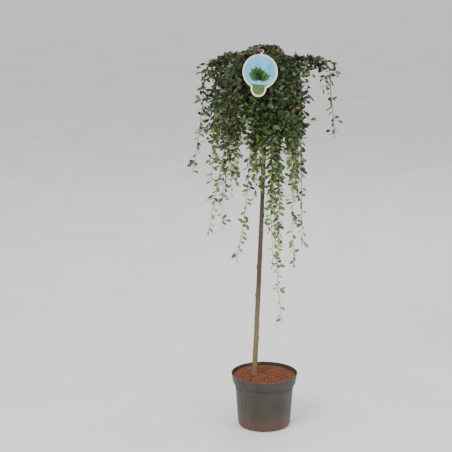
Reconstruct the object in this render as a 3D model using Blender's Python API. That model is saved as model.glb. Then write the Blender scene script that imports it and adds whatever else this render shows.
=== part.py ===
"""A weeping bearberry cotoneaster, grafted on a tall clear stem, in a round nursery pot.

Metres, +Z up. The origin is the centre of the pot's flat underside, and the plant's front faces -Y.
The stem stands on the potting mix. Short boughs arch out of its graft knob, one to a facet, and each
ends where it meets a mass of foliage: one leading whip, more whips that branch from it, and leaves.
Each mass keeps to its own slice of the crown, and every piece is a closed solid of its own.
"""

import math
import random
from collections import namedtuple
from functools import lru_cache

import bmesh
import bpy
from mathutils import Vector

# Clearance between pieces that touch
GAP = 0.0003

# Pot
POT_HEIGHT = 0.200
POT_SIDES = 32
RIM_RADIUS = 0.1225
RIM_FOOT_RADIUS = 0.1165
RIM_BAND = 0.034
LIP_DEPTH = 0.004
BODY_TOP_RADIUS = 0.1075
BODY_FOOT_RADIUS = 0.0975
BEAD_DROP = 0.013
BEAD_HEIGHT = 0.004
BEAD_STANDS_OUT = 0.0016
FOOT_ROUNDING = 0.011
POT_WALL = 0.0018
DRAIN_COUNT = 4
DRAIN_WIDTH = 0.015
DRAIN_HEIGHT = 0.009
DRAIN_DEPTH = 0.022
DRAIN_FIRST_ANGLE = 44.0

# Potting mix
MIX_BELOW_RIM = 0.010
MIX_CROWN = 0.002
MIX_SEAT_RADIUS = 0.020

# Stem, leaning from its foot towards the graft knob under the crown
STEM_SIDES = 10
STEM_FOOT = Vector((-0.037, 0.010, 0.0))
STEM_LEAN_POWER = 1.35
CROWN_AXIS = Vector((0.0, 0.0, 0.0))
FLARE_RADIUS = 0.0125
STEM_FOOT_RADIUS = 0.0098
STEM_TOP_RADIUS = 0.0074
KNOB_RADIUS = 0.0140
KNOB_FOOT = 1.318
KNOB_LOW = 1.334
KNOB_HIGH = 1.370
STEM_TOP = 1.378
STEM_RINGS = 12
SCAR_HEIGHTS = (0.33, 0.497, 0.605, 0.80, 0.97, 1.10)
SCAR_ANGLES = (20.0, 180.0, 175.0, 330.0, 200.0, 15.0)
SCAR_STANDS_OUT = 0.0026
SCAR_REACH = 0.009

# Boughs
BOUGH_COUNT = 10
BOUGH_SIDES = 6
BOUGH_RINGS = 6
BOUGH_FOOT_RADIUS = 0.0042
BOUGH_TIP_RADIUS = 0.0028
BOUGH_LOW_SEAT = 1.343
BOUGH_HIGH_SEAT = 1.358
BOUGH_START = 0.016
BOUGH_BEND_SHARE = 0.42
BOUGH_TURN_SHARE = 1.10

# Whips and leaves
SEED = 41
WHIP_FOOT_RADIUS = 0.0023
WHIP_TIP_RADIUS = 0.0015
WHIP_SIDES = 3
WHIP_STEPS_ARCH = 3
WHIP_STEPS_FALL = 3
ARCH_SHARE = 0.4
INNER_REACH = 0.062
CREST_RISE = 0.09
SLICE_HALF_ANGLE = math.radians(180.0 / BOUGH_COUNT)
SLICE_MARGIN = 0.0008
LIMB_MARGIN = 0.0015
LEAF_LENGTH = 0.037
LEAF_WIDTH = 0.021
LEAF_CUP = 0.035
LEAF_SPACING = 0.030
LEAF_APART = 0.0145
LEAF_THICKNESS = 0.0007
LEAF_SINK = 0.0006

# Each mass of foliage, by the azimuth of its slice. First its bough: how far out and how high the tip is,
# how high it arches on the way, and how far it bends and ends to the side. Then its leading whip: how far
# out and to the side it hangs, the same for its tip, and the tip's height. Then its other whips: how many,
# how far out they hang, and the lowest height and the widening of their tips.
Mass = namedtuple(
    "Mass",
    "azimuth bough_reach bough_height bough_lift bough_bend bough_turn "
    "lead_reach lead_turn tip_reach tip_turn lead_low whips reach low widening",
)
MASSES = {
    "right": Mass(0, 0.085, 1.322, 1.492, 0, 0, 0.128, 6, 0.134, 4, 0.673, 5, 0.118, 0.86, 1.12),
    "right_back": Mass(36, 0.062, 1.386, 1.430, 0, -4, 0.252, -13, 0.277, -14, 1.062, 5, 0.132, 0.93, 1.10),
    "back_right": Mass(72, 0.062, 1.388, 1.430, 0, 0, 0.190, 4, 0.198, 2, 0.900, 5, 0.160, 0.97, 1.10),
    "back_left": Mass(108, 0.062, 1.386, 1.436, 0, 0, 0.200, -6, 0.214, -4, 0.840, 5, 0.165, 0.95, 1.12),
    "left_back": Mass(144, 0.064, 1.390, 1.436, 0, 0, 0.212, 5, 0.235, 3, 0.890, 5, 0.178, 0.97, 1.15),
    "left": Mass(180, 0.070, 1.396, 1.436, 0, 0, 0.222, -3, 0.262, -1, 0.955, 6, 0.185, 0.96, 1.16),
    "left_front": Mass(216, 0.066, 1.392, 1.436, 0, 0, 0.165, 3, 0.262, 2, 0.775, 6, 0.160, 0.78, 1.30),
    "front_left": Mass(252, 0.092, 1.403, 1.432, 20, -11, 0.089, -12, 0.188, -14, 0.665, 6, 0.082, 0.80, 1.45),
    "front_right": Mass(288, 0.065, 1.386, 1.436, 0, 2, 0.078, -11, 0.138, 7, 0.435, 6, 0.100, 0.52, 1.20),
    "right_front": Mass(324, 0.062, 1.380, 1.436, 0, 0, 0.118, 0, 0.126, -2, 0.625, 6, 0.128, 0.78, 1.08),
}

# The small mass on the knob's top, whose whips lie over the boughs
TOP_REACH = 0.060
TOP_FLOOR = 1.372
TOP_CEILING = 1.424
TOP_STEM_HEIGHT = 1.399
TOP_WHIPS = 10
TOP_HEIGHT = 1.409
TOP_LEAF_SPACING = 0.013
TOP_LEAF_SCALE = 0.75

# Plain picture label, on a strap round the front left bough
LABEL_BOUGH = "front_left"
LABEL_STATION = 0.72
LABEL_DISC_RADIUS = 0.0610
LABEL_LOBE_RADIUS = 0.0275
LABEL_LOBE_TIP = 0.149
LABEL_THICKNESS = 0.0010
LABEL_LEAN = math.radians(9.0)
LABEL_TURN = math.radians(-5.5)
LABEL_CORNERS = 36
STRAP_WIDTH = 0.0060
STRAP_THICKNESS = 0.0012
STRAP_SIDES = 12
STRAP_LENGTH = 0.004
LABEL_ROOM = 0.006

# Colours, sRGB, with the roughness of each material
FINISHES = {
    "nursery_pot": ("3a322d", 0.45),
    "potting_mix": ("7c3f26", 0.95),
    "bark": ("5a4636", 0.85),
    "foliage": ("44552c", 0.50),
    "label_card": ("4fa3cc", 0.35),
}


def linear(hex_colour):
    """A six-digit sRGB colour as linear red, green and blue."""
    channels = [int(hex_colour[i : i + 2], 16) / 255 for i in (0, 2, 4)]
    return [c / 12.92 if c <= 0.04045 else ((c + 0.055) / 1.055) ** 2.4 for c in channels]


def finish(name):
    """The material of that name, made once."""
    made = bpy.data.materials.get(name)
    if made is None:
        colour, roughness = FINISHES[name]
        made = bpy.data.materials.new(name)
        made.use_nodes = True
        shader = made.node_tree.nodes["Principled BSDF"]
        shader.inputs["Base Color"].default_value = (*linear(colour), 1.0)
        shader.inputs["Roughness"].default_value = roughness
        shader.inputs["Metallic"].default_value = 0.0
    return made


def add_object(name, work, material, smooth_angle=None):
    """Turns a bmesh into a linked object with outward faces, and frees the bmesh."""
    bmesh.ops.recalc_face_normals(work, faces=work.faces)
    mesh = bpy.data.meshes.new(name)
    work.to_mesh(mesh)
    work.free()
    mesh.materials.append(finish(material))
    if smooth_angle is not None:
        mesh.shade_smooth()
        mesh.set_sharp_from_angle(angle=math.radians(smooth_angle))
    made = bpy.data.objects.new(name, mesh)
    bpy.context.scene.collection.objects.link(made)
    return made


def plan_direction(angle):
    """The level unit vector at an azimuth in radians."""
    return Vector((math.cos(angle), math.sin(angle), 0.0))


def bezier(corners, t):
    """A point on the cubic curve of four control points."""
    a, b, c, d = corners
    u = 1.0 - t
    return a * u**3 + b * (3 * u * u * t) + c * (3 * u * t * t) + d * t**3


def spread(count):
    """Evenly spaced shares from 0 to 1."""
    return [i / (count - 1) for i in range(count)]


def tube(points, radii, sides, first_across=None):
    """A closed bmesh tube through the points, square to them at each end."""
    work = bmesh.new()
    across = first_across
    rings = []
    for i, (point, radius) in enumerate(zip(points, radii)):
        before, after = points[max(i - 1, 0)], points[min(i + 1, len(points) - 1)]
        along = (after - before).normalized()
        if across is None:
            across = along.orthogonal()
        across = (across - along * across.dot(along)).normalized()
        other = along.cross(across)
        turns = [2 * math.pi * k / sides for k in range(sides)]
        rings.append(
            [work.verts.new(point + (across * math.cos(a) + other * math.sin(a)) * radius) for a in turns]
        )
    for low, high in zip(rings, rings[1:]):
        for k in range(sides):
            work.faces.new((low[k], low[(k + 1) % sides], high[(k + 1) % sides], high[k]))
    work.faces.new(list(reversed(rings[0])))
    work.faces.new(rings[-1])
    return work


def lathe(profile, sides):
    """A closed bmesh turned round Z from a profile of (radius, height) that starts and ends on the axis."""
    work = bmesh.new()
    chain = [work.verts.new((radius, 0.0, height)) for radius, height in profile]
    for a, b in zip(chain, chain[1:]):
        work.edges.new((a, b))
    bmesh.ops.spin(
        work,
        geom=work.verts[:] + work.edges[:],
        cent=(0.0, 0.0, 0.0),
        axis=(0.0, 0.0, 1.0),
        angle=2 * math.pi,
        steps=sides,
        use_merge=True,
    )
    bmesh.ops.remove_doubles(work, verts=work.verts, dist=0.00001)
    return work


def keep_largest_body(mesh):
    """Drops loose scraps and sealed hollows, so that the mesh is one closed body."""
    work = bmesh.new()
    work.from_mesh(mesh)
    bmesh.ops.triangulate(work, faces=work.faces)
    unseen = set(work.faces)
    bodies = []
    while unseen:
        edge_of_search = [unseen.pop()]
        body = []
        while edge_of_search:
            face = edge_of_search.pop()
            body.append(face)
            near = {other for edge in face.edges for other in edge.link_faces} & unseen
            unseen -= near
            edge_of_search += near
        bodies.append(body)
    bodies.sort(key=len, reverse=True)
    for scrap in bodies[1:]:
        bmesh.ops.delete(work, geom=scrap, context="FACES")
    work.to_mesh(mesh)
    work.free()
    return [len(body) for body in bodies[1:]]


def join_by_union(base, helpers):
    """Unites the helper objects with the base in one Boolean, applies it and removes the helpers."""
    group = bpy.data.collections.new(base.name + "_helpers")
    bpy.context.scene.collection.children.link(group)
    for helper in helpers:
        bpy.context.scene.collection.objects.unlink(helper)
        group.objects.link(helper)
    union = base.modifiers.new("union", "BOOLEAN")
    union.operation = "UNION"
    union.operand_type = "COLLECTION"
    union.collection = group
    union.solver = "MANIFOLD"
    bpy.context.view_layer.update()
    graph = bpy.context.evaluated_depsgraph_get()
    united = bpy.data.meshes.new_from_object(base.evaluated_get(graph))
    base.modifiers.clear()
    base.data = united
    united.materials.clear()
    united.materials.append(helpers[0].data.materials[0])
    scraps = keep_largest_body(united)
    if scraps:
        print(base.name, "loose scraps dropped, by their faces:", scraps)
    for helper in helpers:
        bpy.data.objects.remove(helper)
    bpy.data.collections.remove(group)
    return base


def foot_arc(radius, rounding, low=0.0, steps=2):
    """The rounded corner of a profile, from the underside out to the wall."""
    turns = [math.pi / 2 * i / steps for i in range(steps + 1)]
    return [
        (radius - rounding + rounding * math.sin(a), low + rounding - rounding * math.cos(a)) for a in turns
    ]


def make_pot():
    """The thin moulded pot: a tapering body with a bead, a band for a rim, and drains cut in its foot."""
    band_foot = POT_HEIGHT - RIM_BAND
    ledge = band_foot - 0.004
    bead_mid = ledge - BEAD_DROP
    bead_low, bead_high = bead_mid - BEAD_HEIGHT / 2, bead_mid + BEAD_HEIGHT / 2
    outside = [(0.0, 0.0)] + foot_arc(BODY_FOOT_RADIUS, FOOT_ROUNDING)
    outside += [
        (BODY_TOP_RADIUS - 0.0008, bead_low),
        (BODY_TOP_RADIUS + BEAD_STANDS_OUT, bead_mid),
        (BODY_TOP_RADIUS, bead_high),
        (BODY_TOP_RADIUS, ledge),
        (RIM_FOOT_RADIUS, band_foot),
        (RIM_RADIUS - 0.0012, POT_HEIGHT - LIP_DEPTH),
        (RIM_RADIUS, POT_HEIGHT - LIP_DEPTH * 0.7),
        (RIM_RADIUS, POT_HEIGHT),
    ]
    inside = [
        (RIM_RADIUS - 0.0012 - POT_WALL, POT_HEIGHT),
        (RIM_FOOT_RADIUS - POT_WALL, band_foot + POT_WALL),
        (BODY_TOP_RADIUS - POT_WALL, ledge + POT_WALL),
    ]
    inside += [(r - POT_WALL, z) for r, z in reversed(foot_arc(BODY_FOOT_RADIUS, FOOT_ROUNDING, POT_WALL))]
    inside += [(0.0, POT_WALL)]
    pot = add_object("pot", lathe(outside + inside, POT_SIDES), "nursery_pot", 35)
    cutters = bmesh.new()
    for k in range(DRAIN_COUNT):
        angle = math.radians(DRAIN_FIRST_ANGLE) + 2 * math.pi * k / DRAIN_COUNT
        outward = plan_direction(angle)
        sideways = Vector((-outward.y, outward.x, 0.0))
        corners = bmesh.ops.create_cube(cutters, size=1.0)["verts"]
        middle = outward * BODY_FOOT_RADIUS
        for v in corners:
            local = v.co.copy()
            v.co = (
                middle
                + outward * (local.x * DRAIN_DEPTH)
                + sideways * (local.y * DRAIN_WIDTH * (1.0 if local.z < 0 else 0.6))
                + Vector((0.0, 0.0, local.z * 2 * DRAIN_HEIGHT))
            )
    cutter = add_object("drain_cutters", cutters, "nursery_pot")
    cutter.hide_render = True
    cutter.display_type = "WIRE"
    cut = pot.modifiers.new("drains", "BOOLEAN")
    cut.operation = "DIFFERENCE"
    cut.object = cutter
    return pot


def mix_height():
    """The level of the potting mix where the stem stands."""
    return POT_HEIGHT - MIX_BELOW_RIM


def make_mix():
    """The potting mix that fills the pot, a hair clear of its wall, with a level seat under the stem."""
    clear = POT_WALL + GAP
    band_foot = POT_HEIGHT - RIM_BAND
    ledge = band_foot - 0.004
    profile = [(0.0, clear)]
    profile += [(r - clear, z + GAP) for r, z in foot_arc(BODY_FOOT_RADIUS, FOOT_ROUNDING, POT_WALL)]
    top = mix_height()
    rise = (top - band_foot) / (POT_HEIGHT - band_foot)
    rim_inside = RIM_FOOT_RADIUS + rise * (RIM_RADIUS - 0.0012 - RIM_FOOT_RADIUS)
    profile += [
        (BODY_TOP_RADIUS - clear, ledge + clear),
        (RIM_FOOT_RADIUS - clear - 0.0004, band_foot + clear),
        (rim_inside - clear - 0.0006, top - MIX_CROWN),
        (RIM_RADIUS * 0.80, top),
        (0.0, top),
    ]
    return add_object("potting_mix", lathe(profile, POT_SIDES), "potting_mix", 50)


def stem_axis(z):
    """The middle of the stem at a height: a lean that eases out towards the crown."""
    share = min(max((z - mix_height()) / (KNOB_LOW - mix_height()), 0.0), 1.0)
    return CROWN_AXIS + (STEM_FOOT - CROWN_AXIS) * (1.0 - share) ** STEM_LEAN_POWER + Vector((0.0, 0.0, z))


def stem_radius(z):
    """The stem's radius below the knob: a flared foot, then an even taper."""
    share = (z - mix_height()) / (KNOB_FOOT - mix_height())
    flare = (FLARE_RADIUS - STEM_FOOT_RADIUS) * math.exp(-(z - mix_height()) / 0.012)
    return STEM_FOOT_RADIUS + (STEM_TOP_RADIUS - STEM_FOOT_RADIUS) * min(share * 1.6, 1.0) + flare


def scar_bulge(angle, z):
    """How far a pruned side shoot's scar lifts the bark at a place on the stem."""
    lift = 0.0
    for height, turn in zip(SCAR_HEIGHTS, SCAR_ANGLES):
        apart = math.cos(angle - math.radians(turn))
        if apart > 0.3:
            lift += SCAR_STANDS_OUT * apart * math.exp(-(((z - height) / SCAR_REACH) ** 2))
    return lift


def make_stem():
    """The bare stem, from its flat cut on the potting mix up to the ten-sided graft knob."""
    foot = mix_height() + GAP
    heights = [foot, foot + 0.010]
    heights += [foot + 0.028 + (KNOB_FOOT - foot - 0.028) * t for t in spread(STEM_RINGS)]
    for height in SCAR_HEIGHTS:
        heights += [height - SCAR_REACH, height, height + SCAR_REACH]
    heights = sorted(set(heights))
    rows = [(z, None) for z in heights]
    rows += [(KNOB_LOW, KNOB_RADIUS), (KNOB_HIGH, KNOB_RADIUS), (STEM_TOP, KNOB_RADIUS * 0.62)]
    work = bmesh.new()
    rings = []
    corner = 1.0 / math.cos(math.pi / STEM_SIDES)
    for z, knob in rows:
        middle = stem_axis(z)
        ring = []
        for k in range(STEM_SIDES):
            angle = 2 * math.pi * (k + 0.5) / STEM_SIDES
            radius = (knob or stem_radius(z) + scar_bulge(angle, z)) * corner
            ring.append(work.verts.new(middle + plan_direction(angle) * radius))
        rings.append(ring)
    for low, high in zip(rings, rings[1:]):
        for k in range(STEM_SIDES):
            work.faces.new((low[k], low[(k + 1) % STEM_SIDES], high[(k + 1) % STEM_SIDES], high[k]))
    work.faces.new(list(reversed(rings[0])))
    work.faces.new(rings[-1])
    return add_object("stem", work, "bark", 60)


def polar(azimuth, reach, height):
    """The point at an azimuth in degrees, a reach from the middle and a height."""
    return plan_direction(math.radians(azimuth)) * reach + Vector((0.0, 0.0, height))


def bough_curve(name):
    """The four control points of a mass's bough, from its seat on the knob to its tip."""
    m = MASSES[name]
    seat = BOUGH_LOW_SEAT if round(m.azimuth / 36) % 2 == 0 else BOUGH_HIGH_SEAT
    start = KNOB_RADIUS + GAP
    bend_reach = m.bough_reach * (BOUGH_BEND_SHARE if m.bough_bend == 0 else BOUGH_TURN_SHARE)
    return (
        polar(m.azimuth, start, seat),
        polar(m.azimuth, start + BOUGH_START, seat),
        polar(m.azimuth + m.bough_bend, bend_reach, m.bough_lift),
        polar(m.azimuth + m.bough_turn, m.bough_reach, m.bough_height),
    )


def bough_radius(t):
    """A bough's radius, from its foot on the knob to its tip."""
    return BOUGH_FOOT_RADIUS + (BOUGH_TIP_RADIUS - BOUGH_FOOT_RADIUS) * t


def make_bough(name):
    """One tapering bough, arching from its facet of the knob to its mass of foliage."""
    corners = bough_curve(name)
    shares = [0.0, 0.09] + spread(BOUGH_RINGS)[1:-1] + [0.96, 1.0]
    points = [bezier(corners, t) for t in shares]
    outward = (corners[1] - corners[0]).normalized()
    onward = (corners[3] - corners[2]).normalized()
    points[1] = points[0] + outward * (points[1] - points[0]).length
    points[-2] = points[-1] - onward * (points[-2] - points[-1]).length
    side = outward.cross(Vector((0.0, 0.0, 1.0)))
    work = tube(points, [bough_radius(t) for t in shares], BOUGH_SIDES, side)
    return add_object("bough_" + name, work, "bark", 60)


def leading_whip(name):
    """The whip that carries on from a bough's tip, and that a mass's other whips branch from."""
    m = MASSES[name]
    corners = bough_curve(name)
    along = (corners[3] - corners[2]).normalized()
    start = corners[3] + along * GAP
    hang = polar(m.azimuth + m.lead_turn, m.lead_reach, 0.0)
    run = (hang.xy - start.xy).length
    drop = min(0.15, 0.30 * (start.z - m.lead_low))
    rng = random.Random(SEED * 1000 + m.azimuth)
    return {
        "start": start,
        "first": start + along * max(run * 0.45, 0.020),
        "crest": hang + Vector((0.0, 0.0, start.z + CREST_RISE * run)),
        "shoulder": hang + Vector((0.0, 0.0, start.z - drop)),
        "tip": polar(m.azimuth + m.tip_turn, m.tip_reach, m.lead_low),
        "sway": 0.004,
        "phase": rng.uniform(0.0, 2 * math.pi),
    }


def branch_whip(name, number):
    """One of the whips that branch from the leading whip and hang inside the mass's slice."""
    m = MASSES[name]
    rng = random.Random(SEED * 1000 + m.azimuth * 10 + 7 * number + 1)
    share = (number + 0.5) / m.whips
    start = path_point(whip_path(leading_whip(name)), ARCH_SHARE * (0.10 + 0.80 * share))
    side = 1.0 if number % 2 == 0 else -1.0
    azimuth = m.azimuth + side * math.degrees(SLICE_HALF_ANGLE) * rng.uniform(0.22, 0.60)
    reach = INNER_REACH + (m.reach - INNER_REACH) * share**0.8
    hang = polar(azimuth, reach, 0.0)
    run = hang - Vector((start.x, start.y, 0.0))
    drop = rng.uniform(0.05, 0.11)
    low = m.low + (1.18 - m.low) * (1.0 - share) ** 0.8 + rng.uniform(-0.02, 0.05)
    rise = rng.uniform(0.008, 0.020)
    return {
        "start": start,
        "first": start + run * 0.4 + Vector((0.0, 0.0, rise)),
        "crest": hang + Vector((0.0, 0.0, start.z + rise * 0.5)),
        "shoulder": hang + Vector((0.0, 0.0, start.z - drop)),
        "tip": polar(azimuth, reach * rng.uniform(1.0, m.widening), min(low, start.z - drop - 0.06)),
        "sway": rng.uniform(0.003, 0.006),
        "phase": rng.uniform(0.0, 2 * math.pi),
    }


def whip_point(whip, t):
    """A point on a whip: an arch out to where it hangs, then a gently swaying fall to its tip."""
    if t <= ARCH_SHARE:
        corners = (whip["start"], whip["first"], whip["crest"], whip["shoulder"])
        return bezier(corners, t / ARCH_SHARE)
    u = (t - ARCH_SHARE) / (1.0 - ARCH_SHARE)
    fall = whip["shoulder"].lerp(whip["tip"], u)
    eased = whip["shoulder"].lerp(whip["tip"], u**1.4)
    outward = Vector((whip["tip"].x, whip["tip"].y, 0.0)).normalized()
    sideways = Vector((-outward.y, outward.x, 0.0))
    wave = whip["sway"] * u * math.sin(2 * math.pi * 1.3 * u + whip["phase"])
    return Vector((eased.x, eased.y, fall.z)) + sideways * wave


def whip_radius(t):
    """A whip's radius from where it starts to its tip."""
    return WHIP_FOOT_RADIUS + (WHIP_TIP_RADIUS - WHIP_FOOT_RADIUS) * t


def whip_path(whip):
    """The stations of a whip's rings and the points there, closer together in its arch."""
    arch = [ARCH_SHARE * t for t in spread(WHIP_STEPS_ARCH + 1)]
    fall = [ARCH_SHARE + (1 - ARCH_SHARE) * t for t in spread(WHIP_STEPS_FALL + 1)]
    stations = arch + fall[1:]
    return stations, [whip_point(whip, t) for t in stations]


def path_point(path, t):
    """The point at a station on the straight pieces between a whip's rings."""
    stations, points = path
    for i in range(len(stations) - 1):
        if t <= stations[i + 1]:
            share = (t - stations[i]) / (stations[i + 1] - stations[i])
            return points[i].lerp(points[i + 1], share)
    return points[-1]


def in_slice(name, point, margin):
    """Whether a point lies in the mass's slice of the crown, clear of its sides and of the top mass."""
    middle = math.radians(MASSES[name].azimuth)
    for side in (-1.0, 1.0):
        edge = middle + side * SLICE_HALF_ANGLE
        inward = Vector((math.sin(edge), -math.cos(edge), 0.0)) * side
        if point.dot(inward) < margin:
            return False
    return point.z < TOP_FLOOR - margin or point.xy.length > TOP_REACH + margin


def in_top(point, margin):
    """Whether a point lies in the space over the knob that the top mass keeps to."""
    return TOP_FLOOR + margin < point.z < TOP_CEILING and point.xy.length < TOP_REACH - margin


def near_label(point, margin):
    """Whether a point is within a margin of the label, or in the view that is kept open before it."""
    _, middle, right, down, normal = label_frame()
    local = point - middle
    across, below, before = local.dot(right), local.dot(down), local.dot(normal)
    in_disc = math.hypot(across, below) < LABEL_DISC_RADIUS + margin
    lobe_low = LABEL_LOBE_TIP - LABEL_DISC_RADIUS + margin
    in_lobe = abs(across) < LABEL_LOBE_RADIUS + margin and 0.0 < below < lobe_low
    in_strap = abs(across) < STRAP_WIDTH + margin and -0.100 < below < 0.0
    return before > -margin and (in_disc or in_lobe or in_strap)


@lru_cache(maxsize=None)
def bough_stations(name):
    """Close-set points along a bough, each with the radius there."""
    corners = bough_curve(name)
    return [(bezier(corners, t), bough_radius(t)) for t in spread(31)]


def touches_bough(name, point, margin):
    """Whether a point is too near a mass's bough."""
    return any((point - station).length < radius + margin for station, radius in bough_stations(name))


def allowed(name, point, margin=0.0):
    """Whether foliage may be at a point: in its own space, clear of the stem, the boughs and the label."""
    if name == "top":
        if not in_top(point, SLICE_MARGIN + margin):
            return False
        boughs = MASSES
    else:
        if not in_slice(name, point, SLICE_MARGIN + margin):
            return False
        boughs = [name]
    around = KNOB_RADIUS if point.z > KNOB_FOOT else stem_radius(point.z) + SCAR_STANDS_OUT
    off_axis = (point - stem_axis(point.z)).length
    if point.z < STEM_TOP + LIMB_MARGIN + margin and off_axis < around + LIMB_MARGIN + margin:
        return False
    if any(touches_bough(bough, point, LIMB_MARGIN + margin) for bough in boughs):
        return False
    return not near_label(point, LABEL_ROOM + margin)


def leaf_corners(root, along, normal, length, width):
    """The four corners of a leaf's edge, from one side of its widest part round its blunt tip."""
    side = normal.cross(along).normalized()
    cupped = normal * (width * LEAF_CUP)
    belly, tip = root + along * (length * 0.58), root + along * length
    return [
        belly - side * (width / 2) + cupped,
        tip - side * (width * 0.19),
        tip + side * (width * 0.19),
        belly + side * (width / 2) + cupped,
    ]


def leaf_solid(root, along, normal, length, width, sink):
    """An eight-faced leaf, blunt at its tip and keeled below, whose pointed foot is sunk in the twig."""
    work = bmesh.new()
    foot = work.verts.new(root - along * sink)
    keel = work.verts.new(root + along * (length * 0.20) - normal * LEAF_THICKNESS)
    edge = [work.verts.new(corner) for corner in leaf_corners(root, along, normal, length, width)]
    work.faces.new((foot, edge[0], edge[3]))
    work.faces.new((edge[0], edge[1], edge[3]))
    work.faces.new((edge[1], edge[2], edge[3]))
    for a, b in zip(edge, edge[1:]):
        work.faces.new((keel, b, a))
    work.faces.new((keel, edge[0], foot))
    work.faces.new((keel, foot, edge[3]))
    return work


def leaf_pose(along_whip, rank, rng):
    """The direction and the normal of a leaf that opens from a twig, on one side of it or the other."""
    across = along_whip.cross(Vector((0.0, 0.0, 1.0)))
    if across.length < 0.25:
        across = plan_direction(rng.uniform(0.0, 2 * math.pi))
    across = (across - along_whip * across.dot(along_whip)).normalized()
    other = along_whip.cross(across)
    turn = math.pi * rank + rng.uniform(-0.9, 0.9)
    outward = across * math.cos(turn) + other * math.sin(turn)
    opening = rng.uniform(0.8, 1.45)
    along = (along_whip * math.cos(opening) + outward * math.sin(opening)).normalized()
    flat = (along_whip - along * along.dot(along_whip)).normalized()
    roll = rng.uniform(-0.8, 0.8)
    normal = flat * -math.cos(roll) + along.cross(flat) * math.sin(roll)
    return along, normal.normalized()


def leaf_places(points, spacing, rng):
    """The root, direction, normal and size of each leaf along a chain of points."""
    travelled, wanted, rank = 0.0, spacing * 0.45, 0
    for start, end in zip(points, points[1:]):
        piece = end - start
        while wanted <= travelled + piece.length:
            root = start + piece * ((wanted - travelled) / piece.length)
            along, normal = leaf_pose(piece.normalized(), rank, rng)
            yield root, along, normal, rng.uniform(0.84, 1.12)
            wanted += spacing * rng.uniform(0.75, 1.25)
            rank += 1
        travelled += piece.length


def leaf_fits(name, root, along, normal, length, width):
    """Whether every part of a leaf is in a place that its mass may fill."""
    left, tip_left, tip_right, right = leaf_corners(root, along, normal, length, width)
    spots = [left, tip_left, tip_right, right]
    for share in (0.15, 0.35, 0.55, 0.75):
        spots += [root.lerp(left, share), root.lerp(tip_left.lerp(tip_right, 0.5), share), root.lerp(right, share)]
    for share in (0.33, 0.67):
        spots += [left.lerp(right, share), left.lerp(tip_left, share), right.lerp(tip_right, share)]
    return all(allowed(name, spot) for spot in spots)


def whips_of(name):
    """Every whip of a mass that keeps to its own space, the leading one first."""
    whips = [leading_whip(name)]
    for number in range(MASSES[name].whips):
        whip = branch_whip(name, number)
        points = [whip_point(whip, t) for t in spread(25)]
        if all(allowed(name, p, WHIP_FOOT_RADIUS) for p in points[4:]):
            whips.append(whip)
    return whips


def add_leaves(name, points, spacing, rng, taken, size=1.0):
    """The leaves of one whip as objects, less those that would leave their space or crowd another."""
    made = []
    for root, along, normal, scale in leaf_places(points, spacing, rng):
        length, width = LEAF_LENGTH * scale * size, LEAF_WIDTH * scale * size
        spots = [root + along * (length * share) for share in (0.35, 0.75)]
        if any((spot - other).length < LEAF_APART for spot in spots for other in taken):
            continue
        if leaf_fits(name, root, along, normal, length, width):
            taken += spots
            work = leaf_solid(root, along, normal, length, width, LEAF_SINK)
            made.append(add_object(f"{name}_leaf", work, "foliage"))
    return made


def make_mass(name):
    """A mass of foliage: whips and leaves fused into one solid on the leading whip."""
    helpers = []
    lead = None
    taken = []
    for number, whip in enumerate(whips_of(name)):
        stations, points = whip_path(whip)
        radii = [whip_radius(t) for t in stations]
        rng = random.Random(SEED * 100000 + MASSES[name].azimuth * 100 + number)
        helpers += add_leaves(name, points, LEAF_SPACING, rng, taken)
        if number == 0:
            points.insert(1, points[0] + (whip["first"] - whip["start"]).normalized() * 0.006)
            radii = [BOUGH_TIP_RADIUS, BOUGH_TIP_RADIUS * 0.95] + radii[1:]
            lead = add_object(f"foliage_{name}", tube(points, radii, WHIP_SIDES), "foliage")
        else:
            helpers.append(add_object(f"{name}_whip", tube(points, radii, WHIP_SIDES), "foliage"))
    return join_by_union(lead, helpers)


def top_whips():
    """The short whips of the top mass: from its stem out over the gaps between the boughs."""
    foot = Vector((0.0, 0.0, TOP_STEM_HEIGHT))
    whips = []
    for number in range(TOP_WHIPS):
        rng = random.Random(SEED * 500 + number)
        azimuth = 360.0 * (number + 0.5) / TOP_WHIPS
        high = TOP_HEIGHT + rng.uniform(-0.003, 0.003)
        points = [
            foot - Vector((0.0, 0.0, rng.uniform(0.002, 0.008))),
            polar(azimuth, 0.018, high),
            polar(azimuth, TOP_REACH * 0.6, high - 0.001),
            polar(azimuth + rng.uniform(-4, 4), TOP_REACH * 0.86, high - 0.008),
        ]
        between = [a.lerp(b, t) for a, b in zip(points[1:], points[2:]) for t in spread(8)]
        if all(allowed("top", p, WHIP_TIP_RADIUS) for p in between):
            whips.append(points)
    return whips


def make_top():
    """The mass on the knob's top: an upright stem, short whips that fan out from it, and their leaves."""
    foot = Vector((0.0, 0.0, STEM_TOP + GAP))
    stem_points = [foot, foot + Vector((0.0, 0.0, 0.010)), Vector((0.0, 0.0, TOP_STEM_HEIGHT))]
    stem_radii = [BOUGH_TIP_RADIUS, BOUGH_TIP_RADIUS * 0.9, WHIP_TIP_RADIUS]
    lead = add_object("foliage_top", tube(stem_points, stem_radii, WHIP_SIDES), "foliage")
    helpers = []
    taken = []
    for number, points in enumerate(top_whips()):
        rng = random.Random(SEED * 700 + number)
        helpers += add_leaves("top", points, TOP_LEAF_SPACING, rng, taken, TOP_LEAF_SCALE)
        radii = [WHIP_TIP_RADIUS * 1.1] * 2 + [WHIP_TIP_RADIUS, WHIP_TIP_RADIUS * 0.8]
        helpers.append(add_object("top_whip", tube(points, radii, WHIP_SIDES), "foliage"))
    return join_by_union(lead, helpers)


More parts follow.
